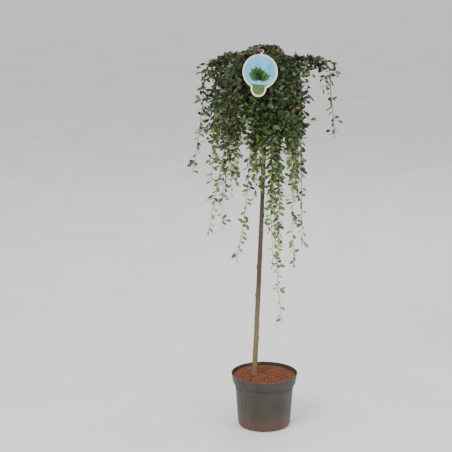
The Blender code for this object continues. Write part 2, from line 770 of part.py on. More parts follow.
def label_frame():
    """The strap's middle on the bough, the disc's middle, and the label's right, down and front."""
    corners = bough_curve(LABEL_BOUGH)
    on_bough = bezier(corners, LABEL_STATION)
    right = Vector((math.cos(LABEL_TURN), 0.0, math.sin(LABEL_TURN)))
    down = Vector((math.sin(LABEL_TURN), -math.sin(LABEL_LEAN), -math.cos(LABEL_LEAN))).normalized()
    right = (right - down * right.dot(down)).normalized()
    normal = down.cross(right).normalized()
    inside = strap_inside()
    top = on_bough + Vector((0.0, 0.0, -1.0)) * (inside - bough_radius(LABEL_STATION) - GAP)
    middle = top + down * (inside + STRAP_LENGTH + LABEL_DISC_RADIUS)
    return top, middle, right, down, normal


def strap_inside():
    """The inner radius of the strap's eye, which hangs loosely on the bough."""
    return bough_radius(LABEL_STATION) + 0.0022


def label_outline():
    """The outline of the label across and below the disc's middle: a disc with a round-ended lobe."""
    neck = math.asin(LABEL_LOBE_RADIUS / LABEL_DISC_RADIUS)
    start = math.pi / 2 + neck
    turns = [start + (2 * math.pi - 2 * neck) * i / LABEL_CORNERS for i in range(LABEL_CORNERS + 1)]
    outline = [(LABEL_DISC_RADIUS * math.cos(a), LABEL_DISC_RADIUS * math.sin(a)) for a in turns]
    lobe_middle = LABEL_LOBE_TIP - LABEL_DISC_RADIUS - LABEL_LOBE_RADIUS * 1.15
    for i in range(1, 10):
        a = math.pi * i / 10
        outline.append(
            (LABEL_LOBE_RADIUS * math.cos(a), lobe_middle + LABEL_LOBE_RADIUS * 1.15 * math.sin(a))
        )
    return outline


def make_label():
    """The plain plastic label and its strap, whose eye goes round the bough."""
    top, middle, right, down, normal = label_frame()
    half = normal * (LABEL_THICKNESS / 2)
    work = bmesh.new()
    front = [work.verts.new(middle + right * x + down * y + half) for x, y in label_outline()]
    back = [work.verts.new(v.co - half * 2) for v in front]
    work.faces.new(front)
    work.faces.new(list(reversed(back)))
    for k in range(len(front)):
        after = (k + 1) % len(front)
        work.faces.new((front[after], front[k], back[k], back[after]))
    label = add_object("label", work, "label_card", 40)

    corners = bough_curve(LABEL_BOUGH)
    along = (bezier(corners, LABEL_STATION + 0.02) - bezier(corners, LABEL_STATION - 0.02)).normalized()
    across = along.cross(Vector((0.0, 0.0, 1.0))).normalized()
    upward = across.cross(along).normalized()
    eye = bmesh.new()
    inside, outside = strap_inside(), strap_inside() + STRAP_THICKNESS
    rings = []
    for radius, shift in ((inside, -1), (outside, -1), (outside, 1), (inside, 1)):
        turns = [2 * math.pi * (k + 0.5) / STRAP_SIDES for k in range(STRAP_SIDES)]
        rings.append(
            [
                eye.verts.new(
                    top
                    + (across * math.cos(a) + upward * math.sin(a)) * radius
                    + along * (shift * STRAP_WIDTH / 4)
                )
                for a in turns
            ]
        )
    for low, high in zip(rings, rings[1:] + rings[:1]):
        for k in range(STRAP_SIDES):
            eye.faces.new((low[k], low[(k + 1) % STRAP_SIDES], high[(k + 1) % STRAP_SIDES], high[k]))
    eye_object = add_object("label_eye", eye, "label_card")

    neck_top = top + down * (inside + STRAP_THICKNESS * 0.6)
    neck_foot = middle - down * (LABEL_DISC_RADIUS - 0.004)
    neck = bmesh.new()
    for end in (neck_top, neck_foot):
        for x, y in ((-1, -1), (1, -1), (1, 1), (-1, 1)):
            neck.verts.new(end + right * (x * STRAP_WIDTH / 2) + normal * (y * STRAP_THICKNESS / 2))
    bmesh.ops.convex_hull(neck, input=neck.verts)
    neck_object = add_object("label_neck", neck, "label_card")
    return join_by_union(label, [eye_object, neck_object])


def main():
    """Clears the scene and builds every piece of the plant and its pot."""
    for old in list(bpy.data.objects):
        bpy.data.objects.remove(old)
    make_pot()
    make_mix()
    make_stem()
    for name in MASSES:
        make_bough(name)
        made = make_mass(name)
        print(made.name, len(whips_of(name)), "whips", len(made.data.polygons), "faces")
    make_top()
    make_label()


main()
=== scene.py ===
# %% [markdown]
# A weeping bearberry cotoneaster in its nursery pot. The plant is a standard: a low, creeping shrub grafted
# on top of a tall bare stem, so that its shoots arch out and trail down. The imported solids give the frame,
# and every piece here is made in that frame, in metres, with the pot's underside at the origin.

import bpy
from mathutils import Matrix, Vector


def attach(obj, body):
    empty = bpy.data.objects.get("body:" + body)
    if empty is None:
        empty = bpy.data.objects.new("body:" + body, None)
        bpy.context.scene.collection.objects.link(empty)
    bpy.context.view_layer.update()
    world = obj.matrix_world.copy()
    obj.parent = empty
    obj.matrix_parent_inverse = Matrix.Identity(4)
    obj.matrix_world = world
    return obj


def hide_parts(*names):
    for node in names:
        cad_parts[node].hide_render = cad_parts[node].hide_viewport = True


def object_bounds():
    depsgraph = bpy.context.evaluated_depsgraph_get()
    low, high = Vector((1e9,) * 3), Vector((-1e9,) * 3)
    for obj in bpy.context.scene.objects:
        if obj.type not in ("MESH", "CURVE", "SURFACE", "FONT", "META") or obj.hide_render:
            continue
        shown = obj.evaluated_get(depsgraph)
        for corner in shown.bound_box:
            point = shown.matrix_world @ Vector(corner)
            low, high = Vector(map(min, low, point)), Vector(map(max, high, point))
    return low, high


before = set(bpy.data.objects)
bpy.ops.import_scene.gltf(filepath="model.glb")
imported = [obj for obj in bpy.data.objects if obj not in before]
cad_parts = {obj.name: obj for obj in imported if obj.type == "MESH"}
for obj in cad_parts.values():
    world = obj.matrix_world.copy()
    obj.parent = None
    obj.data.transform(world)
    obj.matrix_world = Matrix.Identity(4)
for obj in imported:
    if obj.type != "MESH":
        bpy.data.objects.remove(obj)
cad_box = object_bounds()
print("solids' box", cad_box)

# %% [markdown]
# Python's own modules work out sizes and random draws. Blender's bpy makes objects and materials, bmesh makes
# the floor, and mathutils has vectors and the smooth noise that makes bark and twigs uneven.

# %% Modules
import math
import random
from collections import namedtuple

import bmesh
import bpy
from mathutils import Vector, noise

BODY = "root"
UP = Vector((0.0, 0.0, 1.0))
FULL_TURN = 2 * math.pi

# %% [markdown]
# Colours are picked as sRGB, the way a screen shows them, and Blender's shaders work in linear light. One
# small function turns the first into the second, with the numbers of the sRGB standard.

# %% Colours


def linear(hex_colour):
    """A six-digit sRGB colour as linear red, green, blue and alpha."""
    channels = [int(hex_colour[i : i + 2], 16) / 255 for i in (0, 2, 4)]
    return [c / 12.92 if c <= 0.04045 else ((c + 0.055) / 1.055) ** 2.4 for c in channels] + [1.0]


# %% [markdown]
# A material is a small graph of nodes. It could be drawn by hand in the Shader Editor. In a script, one
# function adds a node, sets what it is given and links its inputs, so that a material reads as steps.
# A colour Mix node has no names of its own for its colour sockets, so their numbers get names here.

# %% Node helpers
MIX_FACTOR, MIX_FIRST, MIX_SECOND, MIX_RESULT = 0, 6, 7, 2


def add_node(tree, kind, links=None, stops=(), **settings):
    """A new node with its settings; links maps an input's name or number to an output socket or a value.

    A colour ramp also gets its stops, each a place and an sRGB colour.
    """
    node = tree.nodes.new(kind)
    for name, value in settings.items():
        setattr(node, name, value)
    if stops:
        elements = node.color_ramp.elements
        while len(elements) < len(stops):
            elements.new(0.5)
        for element, (place, colour) in zip(elements, stops):
            element.position = place
            element.color = linear(colour)
    for name, source in (links or {}).items():
        if isinstance(source, bpy.types.NodeSocket):
            tree.links.new(source, node.inputs[name])
        else:
            node.inputs[name].default_value = source
    return node


def new_material(name, roughness, **sockets):
    """A Principled material with its tree and its shader, whose plain values are set on the shader."""
    material = bpy.data.materials.new(name)
    material.use_nodes = True
    shader = material.node_tree.nodes["Principled BSDF"]
    shader.inputs["Roughness"].default_value = roughness
    for socket, value in sockets.items():
        shader.inputs[socket.replace("_", " ")].default_value = value
    return material, material.node_tree, shader


def noise_field(tree, scale, detail=4.0, stretch=(1.0, 1.0, 1.0)):
    """Noise in object coordinates, at so many waves a metre, stretched along the axes."""
    place = add_node(tree, "ShaderNodeTexCoord").outputs["Object"]
    mapped = add_node(tree, "ShaderNodeMapping", {"Vector": place, "Scale": stretch}).outputs["Vector"]
    field = add_node(tree, "ShaderNodeTexNoise", {"Vector": mapped, "Scale": scale, "Detail": detail})
    return field.outputs["Fac"]


def height_above_ground(tree):
    """The height of each place on a piece, in metres."""
    place = add_node(tree, "ShaderNodeTexCoord").outputs["Object"]
    return add_node(tree, "ShaderNodeSeparateXYZ", {"Vector": place}).outputs["Z"]


# %% [markdown]
# The camera looks slightly down at the plant from almost six metres away. A wide lens from close by would
# make the pot loom and the upright lines lean, and a long one from far off keeps them nearly parallel.

# %% Camera
CAMERA_PLACE = Vector((-0.142, -5.67, 2.21))
CAMERA_PITCH = math.radians(14.35)
LENS_MM = 128.9
SENSOR_MM = 36.0

camera_data = bpy.data.cameras.new("camera")
camera_data.lens = LENS_MM
camera_data.sensor_width = SENSOR_MM
camera = bpy.data.objects.new("camera", camera_data)
camera.location = CAMERA_PLACE
camera.rotation_euler = (math.pi / 2 - CAMERA_PITCH, 0.0, 0.0)
bpy.context.scene.collection.objects.link(camera)
bpy.context.scene.camera = camera
print("camera at", CAMERA_PLACE, "with a lens of", LENS_MM, "mm")

# %% [markdown]
# The stage is a pale floor that bends up into a wall far behind, so that no edge shows between the two. A
# pale sky fills the shadows, and three soft lamps give form: a key, a fill and one from behind for the rims.

# %% Stage
FLOOR_HALF_WIDTH = 14.0
FLOOR_NEAR = -12.0
BEND_START = 9.0
BEND_RADIUS = 3.0
BEND_STEPS = 12
WALL_TOP = 12.0
SKY_STRENGTH = 1.05

Lamp = namedtuple("Lamp", "place aim size power")
LAMPS = {
    "key_lamp": Lamp((-2.2, -3.2, 3.6), (0.0, 0.0, 0.8), 2.2, 150.0),
    "fill_lamp": Lamp((2.8, -2.0, 2.4), (0.0, 0.0, 0.7), 2.4, 55.0),
    "rim_lamp": Lamp((0.8, 3.0, 3.4), (0.0, 0.0, 1.0), 2.0, 55.0),
}


def make_stage():
    """A large pale floor with a soft wall behind it."""
    work = bmesh.new()
    turns = [math.pi * k / (2 * BEND_STEPS) for k in range(1, BEND_STEPS + 1)]
    rows = [(FLOOR_NEAR, 0.0), (BEND_START, 0.0)]
    rows += [(BEND_START + BEND_RADIUS * math.sin(a), BEND_RADIUS - BEND_RADIUS * math.cos(a)) for a in turns]
    rows.append((BEND_START + BEND_RADIUS, WALL_TOP))
    left = [work.verts.new((-FLOOR_HALF_WIDTH, y, z)) for y, z in rows]
    right = [work.verts.new((FLOOR_HALF_WIDTH, y, z)) for y, z in rows]
    for k in range(len(rows) - 1):
        work.faces.new((left[k], right[k], right[k + 1], left[k + 1]))
    mesh = bpy.data.meshes.new("floor")
    work.to_mesh(mesh)
    work.free()
    mesh.shade_smooth()
    floor = bpy.data.objects.new("floor", mesh)
    bpy.context.scene.collection.objects.link(floor)
    # Matt paper: one wave of its mottle every 33 cm.
    material, tree, shader = new_material("pale_studio_floor", 0.9)
    mottle = noise_field(tree, 3.0)
    stops = [(0.35, "e9e8e5"), (0.65, "efeeeb")]
    colour = add_node(tree, "ShaderNodeValToRGB", {"Fac": mottle}, stops).outputs["Color"]
    tree.links.new(colour, shader.inputs["Base Color"])
    mesh.materials.append(material)


def add_lamp(name, lamp):
    """A soft square lamp that faces a point."""
    light = bpy.data.lights.new(name, "AREA")
    light.size = lamp.size
    light.energy = lamp.power
    holder = bpy.data.objects.new(name, light)
    holder.location = lamp.place
    holder.rotation_euler = (Vector(lamp.aim) - Vector(lamp.place)).to_track_quat("-Z", "Y").to_euler()
    bpy.context.scene.collection.objects.link(holder)


make_stage()
world = bpy.data.worlds.new("studio_sky")
world.use_nodes = True
sky = world.node_tree.nodes["Background"].inputs
sky["Color"].default_value = linear("eef1f4")
sky["Strength"].default_value = SKY_STRENGTH
bpy.context.scene.world = world
for lamp_name, lamp_facts in LAMPS.items():
    add_lamp(lamp_name, lamp_facts)
print("stage with", len(LAMPS), "lamps")

# %% [markdown]
# Every piece is a mesh object that stays at the origin, with its place in its mesh, so that it lines up with
# the solids. One function makes the object, says which body carries it, hides the solids that it stands for
# and gives it its material. Small shapes by the thousand would be slow as objects, so they are gathered in
# lists first, and each list becomes one mesh.

# %% Adding a piece
ALL_SMOOTH = 180


class Gathered:
    """Points and faces of many small shapes that become one mesh."""

    def __init__(self, points=(), faces=()):
        self.points = list(points)
        self.faces = list(faces)

    def add(self, points, faces):
        """Adds a shape, with its faces renumbered."""
        first = len(self.points)
        self.points += points
        self.faces += [tuple(first + i for i in face) for face in faces]


def add_piece(name, gathered, material, replaces=(), smooth_angle=ALL_SMOOTH):
    """Links the gathered shapes as a piece that rides on the plant's one body."""
    mesh = bpy.data.meshes.new(name)
    mesh.from_pydata([tuple(p) for p in gathered.points], [], gathered.faces)
    mesh.update()
    mesh.materials.append(material)
    if smooth_angle is not None:
        mesh.shade_smooth()
        if smooth_angle < ALL_SMOOTH:
            mesh.set_sharp_from_angle(angle=math.radians(smooth_angle))
    piece = bpy.data.objects.new(name, mesh)
    bpy.context.scene.collection.objects.link(piece)
    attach(piece, BODY)
    if replaces:
        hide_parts(*replaces)


def dress_node(name, material):
    """Gives a solid that keeps its shape a better material."""
    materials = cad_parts[name].data.materials
    materials.clear()
    materials.append(material)


# %% [markdown]
# The stem and the boughs have the same sizes as the solids: a foot on the potting mix, a lean that eases out
# towards the crown, a graft knob, and ten boughs that leave the knob one to a facet.

# %% Sizes of stem and boughs
GAP = 0.0003
MIX_LEVEL = 0.190
STEM_FOOT = Vector((-0.037, 0.010, 0.0))
STEM_LEAN_POWER = 1.35
FLARE_RADIUS = 0.0125
FLARE_HEIGHT = 0.012
STEM_FOOT_RADIUS = 0.0098
STEM_TOP_RADIUS = 0.0074
STEM_TAPER_RATE = 1.6
KNOB_RADIUS = 0.0140
KNOB_FOOT = 1.318
KNOB_LOW = 1.334
STEM_TOP = 1.378
SCAR_HEIGHTS = (0.33, 0.497, 0.605, 0.80, 0.97, 1.10)
SCAR_ANGLES = (20.0, 180.0, 175.0, 330.0, 200.0, 15.0)
SCAR_STANDS_OUT = 0.0026
SCAR_REACH = 0.009
BOUGH_FOOT_RADIUS = 0.0042
BOUGH_TIP_RADIUS = 0.0028
BOUGH_LOW_SEAT = 1.343
BOUGH_HIGH_SEAT = 1.358
BOUGH_START = 0.016
BOUGH_BEND_SHARE = 0.42
BOUGH_TURN_SHARE = 1.10
FACET_ANGLE = 36

# %% [markdown]
# Each mass of foliage has its slice of the crown. Its sizes are the ones that the solids were made from: its
# bough, its leading whip, and the whips that branch from that. Angles are in degrees and lengths in metres.

# %% Sizes of the masses
SEED = 41
ARCH_SHARE = 0.4
INNER_REACH = 0.062
CREST_RISE = 0.09
SLICE_HALF_ANGLE = math.radians(18.0)
Mass = namedtuple(
    "Mass",
    "azimuth bough_reach bough_height bough_lift bough_bend bough_turn "
    "lead_reach lead_turn tip_reach tip_turn lead_low whips reach low widening",
)
MASSES = {
    "right": Mass(0, 0.085, 1.322, 1.492, 0, 0, 0.128, 6, 0.134, 4, 0.673, 5, 0.118, 0.86, 1.12),
    "right_back": Mass(36, 0.062, 1.386, 1.430, 0, -4, 0.252, -13, 0.277, -14, 1.062, 5, 0.132, 0.93, 1.10),
    "back_right": Mass(72, 0.062, 1.388, 1.430, 0, 0, 0.190, 4, 0.198, 2, 0.900, 5, 0.160, 0.97, 1.10),
    "back_left": Mass(108, 0.062, 1.386, 1.436, 0, 0, 0.200, -6, 0.214, -4, 0.840, 5, 0.165, 0.95, 1.12),
    "left_back": Mass(144, 0.064, 1.390, 1.436, 0, 0, 0.212, 5, 0.235, 3, 0.890, 5, 0.178, 0.97, 1.15),
    "left": Mass(180, 0.070, 1.396, 1.436, 0, 0, 0.222, -3, 0.262, -1, 0.955, 6, 0.185, 0.96, 1.16),
    "left_front": Mass(216, 0.066, 1.392, 1.436, 0, 0, 0.165, 3, 0.262, 2, 0.775, 6, 0.160, 0.78, 1.30),
    "front_left": Mass(252, 0.092, 1.403, 1.432, 20, -11, 0.089, -12, 0.188, -14, 0.665, 6, 0.082, 0.8, 1.45),
    "front_right": Mass(288, 0.065, 1.386, 1.436, 0, 2, 0.078, -11, 0.138, 7, 0.435, 6, 0.100, 0.52, 1.20),
    "right_front": Mass(324, 0.062, 1.380, 1.436, 0, 0, 0.118, 0, 0.126, -2, 0.625, 6, 0.128, 0.78, 1.08),
}
print(len(MASSES), "masses of foliage")

# %% [markdown]
# Stems and twigs are smooth curves. Blender has curve objects for that, but leaves and label need to know
# where a twig runs before it is drawn. So small functions give a point anywhere along a curve.

# %% Points and curves


def plan_direction(angle):
    """The level unit vector at an azimuth in radians."""
    return Vector((math.cos(angle), math.sin(angle), 0.0))


def polar(azimuth, reach, height):
    """The point at an azimuth in degrees, a reach from the middle and a height."""
    return plan_direction(math.radians(azimuth)) * reach + UP * height


def bezier(corners, t):
    """A point on the cubic curve of four control points."""
    a, b, c, d = corners
    u = 1.0 - t
    return a * u**3 + b * (3 * u * u * t) + c * (3 * u * t * t) + d * t**3


def spread(count):
    """Evenly spaced shares from 0 to 1."""
    return [i / (count - 1) for i in range(count)]


def clamp_share(value):
    """A value kept between 0 and 1."""
    return min(max(value, 0.0), 1.0)


def stem_axis(z):
    """The middle of the stem at a height."""
    share = clamp_share((z - MIX_LEVEL) / (KNOB_LOW - MIX_LEVEL))
    return STEM_FOOT * (1.0 - share) ** STEM_LEAN_POWER + UP * z


def stem_radius(z):
    """The stem's radius below the knob: a flared foot, then an even taper."""
    share = (z - MIX_LEVEL) / (KNOB_FOOT - MIX_LEVEL)
    flare = (FLARE_RADIUS - STEM_FOOT_RADIUS) * math.exp(-(z - MIX_LEVEL) / FLARE_HEIGHT)
    taper = (STEM_TOP_RADIUS - STEM_FOOT_RADIUS) * min(share * STEM_TAPER_RATE, 1.0)
    return STEM_FOOT_RADIUS + taper + flare


def bough_curve(name):
    """The four control points of a mass's bough, from its seat on the knob to its tip."""
    m = MASSES[name]
    seat = BOUGH_LOW_SEAT if round(m.azimuth / FACET_ANGLE) % 2 == 0 else BOUGH_HIGH_SEAT
    start = KNOB_RADIUS + GAP
    bend_reach = m.bough_reach * (BOUGH_BEND_SHARE if m.bough_bend == 0 else BOUGH_TURN_SHARE)
    return (
        polar(m.azimuth, start, seat),
        polar(m.azimuth, start + BOUGH_START, seat),
        polar(m.azimuth + m.bough_bend, bend_reach, m.bough_lift),
        polar(m.azimuth + m.bough_turn, m.bough_reach, m.bough_height),
    )


def bough_radius(t):
    """A bough's radius, from its foot on the knob to its tip."""
    return BOUGH_FOOT_RADIUS + (BOUGH_TIP_RADIUS - BOUGH_FOOT_RADIUS) * t


# %% [markdown]
# A tube is the shape of every stem and twig. A curve object with a bevel would draw one too, but here a
# function of place and direction can push each point in or out, which is how the bark gets real relief.

# %% Tubes


def tube_geometry(points, radii, sides, relief=None):
    """Points and faces of a closed tube along a chain of points."""
    out, faces = [], []
    across = None
    for i, (point, radius) in enumerate(zip(points, radii)):
        along = (points[min(i + 1, len(points) - 1)] - points[max(i - 1, 0)]).normalized()
        if across is None:
            across = along.orthogonal()
        across = (across - along * across.dot(along)).normalized()
        other = along.cross(across)
        for k in range(sides):
            angle = FULL_TURN * k / sides
            outward = across * math.cos(angle) + other * math.sin(angle)
            lift = relief(point + outward * radius, outward) if relief else 0.0
            out.append(point + outward * (radius + lift))
    for i in range(len(points) - 1):
        low, high = i * sides, (i + 1) * sides
        for k in range(sides):
            after = (k + 1) % sides
            faces.append((low + k, low + after, high + after, high + k))
    faces.append(tuple(reversed(range(sides))))
    faces.append(tuple(range((len(points) - 1) * sides, len(points) * sides)))
    return out, faces


# %% [markdown]
# Young cotoneaster bark is smooth and purplish brown higher up, and olive near the foot. Upright wrinkles and
# small pale breathing pores break it up. A picture could be wrapped round the stem. Here a ramp on the height
# changes the colour instead, because it has no seam, and noise that is stretched along Z gives the wrinkles.

# %% Bark material
BLOTCH_WAVES = 60.0  # a metre: one blotch every 17 mm
PORE_WAVES = 420.0  # one pore every 2.4 mm
WRINKLE_WAVES = 500.0  # one wrinkle every 2 mm, coarser than the real ones so that they show
WRINKLE_DEPTH = 0.0006


def bark_material(name, low_tone, high_tone, pore_tone, change_from, change_to):
    """Matt bark that changes from one tone to another between two heights, with pores and wrinkles."""
    material, tree, shader = new_material(name, 0.78)
    heights = {"Value": height_above_ground(tree), "From Min": change_from, "From Max": change_to}
    rise = add_node(tree, "ShaderNodeMapRange", heights).outputs["Result"]
    blotch = noise_field(tree, BLOTCH_WAVES, 3.0, (1.0, 1.0, 0.35))
    mixed = add_node(tree, "ShaderNodeMath", {0: rise, 1: blotch}, operation="ADD").outputs[0]
    shifted = add_node(tree, "ShaderNodeMath", {0: mixed, 1: 0.5}, operation="SUBTRACT").outputs[0]
    stops = [(0.15, low_tone), (0.85, high_tone)]
    ground = add_node(tree, "ShaderNodeValToRGB", {"Fac": shifted}, stops).outputs["Color"]
    pores = noise_field(tree, PORE_WAVES, 2.0, (1.0, 1.0, 0.5))
    limits = {"Value": pores, "From Min": 0.62, "From Max": 0.70}
    pore_mask = add_node(tree, "ShaderNodeMapRange", limits).outputs["Result"]
    tones = {MIX_FACTOR: pore_mask, MIX_FIRST: ground, MIX_SECOND: linear(pore_tone)}
    colour = add_node(tree, "ShaderNodeMix", tones, data_type="RGBA").outputs[MIX_RESULT]
    tree.links.new(colour, shader.inputs["Base Color"])
    wrinkles = noise_field(tree, WRINKLE_WAVES, 4.0, (1.0, 1.0, 0.18))
    bump = add_node(tree, "ShaderNodeBump", {"Height": wrinkles, "Distance": WRINKLE_DEPTH, "Strength": 0.7})
    tree.links.new(bump.outputs["Normal"], shader.inputs["Normal"])
    return material


# The stem turns from olive to purplish brown, and the boughs are a little redder.
STEM_BARK = bark_material("stem_bark", "6f6242", "4b3a33", "8a7a5e", 0.30, 0.62)
BOUGH_BARK = bark_material("bough_bark", "4a352c", "5a4034", "8d7763", 1.30, 1.42)
print("bark finishes", STEM_BARK.name, BOUGH_BARK.name)

# %% [markdown]
# The stem is bare for more than a metre. Scars stand out where its side shoots were pruned, and its top
# swells into the graft knob. Its rings stand close enough for the wrinkles to be in the mesh, not only in
# the shading. The boughs are the same kind of tube, uneven in thickness, and each is sunk in the knob a bit.

# %% Stem and boughs
STEM_RINGS = 460
STEM_SIDES = 28
STEM_SUNK = 0.002
KNOB_BLEND = 0.004
KNOB_SWELL_SHARE = 0.3
KNOB_PROFILE = ((0.10, 0.62), (0.22, 0.80), (0.36, 0.95), (0.55, 1.0), (0.75, 0.99), (0.9, 0.88), (1.0, 0.6))
GRAIN_WAVES = (420, 420, 60)
GRAIN_DEPTH = 0.00028
RIPPLE_WAVES = (90, 90, 34)
RIPPLE_DEPTH = 0.00055
RIPPLE_SHIFT = Vector((7.0, 3.0, 1.0))
SCAR_FACING = 0.3
BOUGH_RINGS = 36
BOUGH_SIDES = 12
BOUGH_UNEVENNESS = 0.10
BOUGH_LUMPS = 9
BOUGH_SUNK = 0.0015
BOUGH_FOOT_SWELL = 1.12
BOUGH_NOISE_STEP = 0.37


def stretched(point, waves):
    """A point with each of its coordinates counted in waves."""
    return Vector((point.x * waves[0], point.y * waves[1], point.z * waves[2]))


def bark_relief(point, outward):
    """How far the bark stands out or in at a place: wrinkles, and the scars of pruned shoots."""
    grain = noise.noise(stretched(point, GRAIN_WAVES))
    ripple = noise.noise(stretched(point, RIPPLE_WAVES) + RIPPLE_SHIFT)
    lift = GRAIN_DEPTH * grain + RIPPLE_DEPTH * ripple
    for height, turn in zip(SCAR_HEIGHTS, SCAR_ANGLES):
        facing = outward.dot(plan_direction(math.radians(turn)))
        if facing > SCAR_FACING:
            lift += SCAR_STANDS_OUT * facing * math.exp(-(((point.z - height) / SCAR_REACH) ** 2))
    return lift


def make_stem():
    """The bare stem with its relief, from the potting mix to the graft knob."""
    run = KNOB_FOOT - KNOB_BLEND - MIX_LEVEL
    heights = [MIX_LEVEL - STEM_SUNK + run * t for t in spread(STEM_RINGS)]
    radii = [stem_radius(max(z, MIX_LEVEL)) for z in heights]
    knob_start = heights[-1]
    for share, size in KNOB_PROFILE:
        heights.append(knob_start + (STEM_TOP - knob_start) * share)
        radii.append(max(KNOB_RADIUS * size, radii[-1] if share < KNOB_SWELL_SHARE else 0.0))
    stem = Gathered(*tube_geometry([stem_axis(z) for z in heights], radii, STEM_SIDES, bark_relief))
    add_piece("stem_bark_relief", stem, STEM_BARK, ["stem"])
    print("stem", len(stem.faces), "faces")


def make_bough(name):
    """One bough, uneven in thickness, with a swollen foot that is sunk in the knob."""
    lane = float(MASSES[name].azimuth) * BOUGH_NOISE_STEP
    points, radii = [], []
    for t in spread(BOUGH_RINGS):
        lumps = noise.noise(Vector((t * BOUGH_LUMPS, lane, 0.0)))
        points.append(bezier(bough_curve(name), t))
        radii.append(bough_radius(t) * (1.0 + BOUGH_UNEVENNESS * lumps))
    points.insert(0, points[0] - (points[1] - points[0]).normalized() * BOUGH_SUNK)
    radii.insert(0, radii[0] * BOUGH_FOOT_SWELL)
    bough = Gathered(*tube_geometry(points, radii, BOUGH_SIDES, bark_relief))
    add_piece(f"bough_{name}_bark", bough, BOUGH_BARK, [f"bough_{name}"])


make_stem()
for mass_name in MASSES:
    make_bough(mass_name)
print(len(MASSES), "boughs")

# %% [markdown]
# A whip starts on a bough's tip or on the leading whip, arches out to where it hangs, and then falls with a
# slight sway. Whips could be drawn one by one as curves. These are the rules of the solids instead, so that
# the scene's whips and the solids' whips follow the same lines.

# %% Whips
LEAD_DROP_MOST = 0.15
LEAD_DROP_SHARE = 0.30
LEAD_REACH_ON = 0.45
LEAD_REACH_LEAST = 0.020
LEAD_SWAY = 0.004
FORK_FIRST, FORK_SPAN = 0.10, 0.80
BRANCH_TURN = (0.22, 0.60)
BRANCH_REACH_POWER = 0.8
BRANCH_DROP = (0.05, 0.11)
BRANCH_HIGHEST_END = 1.18
BRANCH_END_SPREAD = (-0.02, 0.05)
BRANCH_RISE = (0.008, 0.020)
BRANCH_LEAST_FALL = 0.06
BRANCH_SWAY = (0.003, 0.006)
FALL_EASE = 1.4
SWAY_TURNS = 1.3


def whip_point(whip, t):
    """A point on a whip: an arch out to where it hangs, then a gently swaying fall to its tip."""
    if t <= ARCH_SHARE:
        corners = (whip["start"], whip["first"], whip["crest"], whip["shoulder"])
        return bezier(corners, t / ARCH_SHARE)
    u = (t - ARCH_SHARE) / (1.0 - ARCH_SHARE)
    fall = whip["shoulder"].lerp(whip["tip"], u)
    eased = whip["shoulder"].lerp(whip["tip"], u**FALL_EASE)
    outward = Vector((whip["tip"].x, whip["tip"].y, 0.0)).normalized()
    sideways = Vector((-outward.y, outward.x, 0.0))
    wave = whip["sway"] * u * math.sin(FULL_TURN * SWAY_TURNS * u + whip["phase"])
    return Vector((eased.x, eased.y, fall.z)) + sideways * wave


def leading_whip(name):
    """The whip that carries on from a bough's tip, and that a mass's other whips branch from."""
    m = MASSES[name]
    corners = bough_curve(name)
    along = (corners[3] - corners[2]).normalized()
    start = corners[3] + along * GAP
    hang = polar(m.azimuth + m.lead_turn, m.lead_reach, 0.0)
    run = (hang.xy - start.xy).length
    drop = min(LEAD_DROP_MOST, LEAD_DROP_SHARE * (start.z - m.lead_low))
    rng = random.Random(SEED * 1000 + m.azimuth)
    return {
        "start": start,
        "first": start + along * max(run * LEAD_REACH_ON, LEAD_REACH_LEAST),
        "crest": hang + UP * (start.z + CREST_RISE * run),
        "shoulder": hang + UP * (start.z - drop),
        "tip": polar(m.azimuth + m.tip_turn, m.tip_reach, m.lead_low),
        "sway": LEAD_SWAY,
        "phase": rng.uniform(0.0, FULL_TURN),
    }


def branch_whip(name, share, side, rng):
    """A whip that branches from the leading whip and hangs inside the mass's slice."""
    m = MASSES[name]
    start = whip_point(leading_whip(name), ARCH_SHARE * (FORK_FIRST + FORK_SPAN * share))
    azimuth = m.azimuth + side * math.degrees(SLICE_HALF_ANGLE) * rng.uniform(*BRANCH_TURN)
    reach = INNER_REACH + (m.reach - INNER_REACH) * share**BRANCH_REACH_POWER
    hang = polar(azimuth, reach, 0.0)
    run = hang - Vector((start.x, start.y, 0.0))
    drop = rng.uniform(*BRANCH_DROP)
    shortening = (BRANCH_HIGHEST_END - m.low) * (1.0 - share) ** BRANCH_REACH_POWER
    low = m.low + shortening + rng.uniform(*BRANCH_END_SPREAD)
    rise = rng.uniform(*BRANCH_RISE)
    lowest_tip = min(low, start.z - drop - BRANCH_LEAST_FALL)
    return {
        "start": start,
        "first": start + run * 0.4 + UP * rise,
        "crest": hang + UP * (start.z + rise * 0.5),
        "shoulder": hang + UP * (start.z - drop),
        "tip": polar(azimuth, reach * rng.uniform(1.0, m.widening), lowest_tip),
        "sway": rng.uniform(*BRANCH_SWAY),
        "phase": rng.uniform(0.0, FULL_TURN),
    }


# %% [markdown]
# The label hangs flat against the front of the crown, and its face stays open to view. Its frame is worked
# out as it was for the solids, from the bough that its strap goes round.

# %% Label frame
LABEL_BOUGH = "front_left"
LABEL_STATION = 0.72
DISC_RADIUS = 0.0610
LOBE_RADIUS = 0.0275
LOBE_TIP = 0.149
LABEL_THICKNESS = 0.0010
LABEL_LEAN = math.radians(9.0)
LABEL_TURN = math.radians(-5.5)
STRAP_WIDTH = 0.0060
STRAP_THICKNESS = 0.0012
STRAP_LENGTH = 0.004
STRAP_ROOM = 0.0022
STRAP_INSIDE = bough_radius(LABEL_STATION) + STRAP_ROOM
STEM_ROOM = 0.001


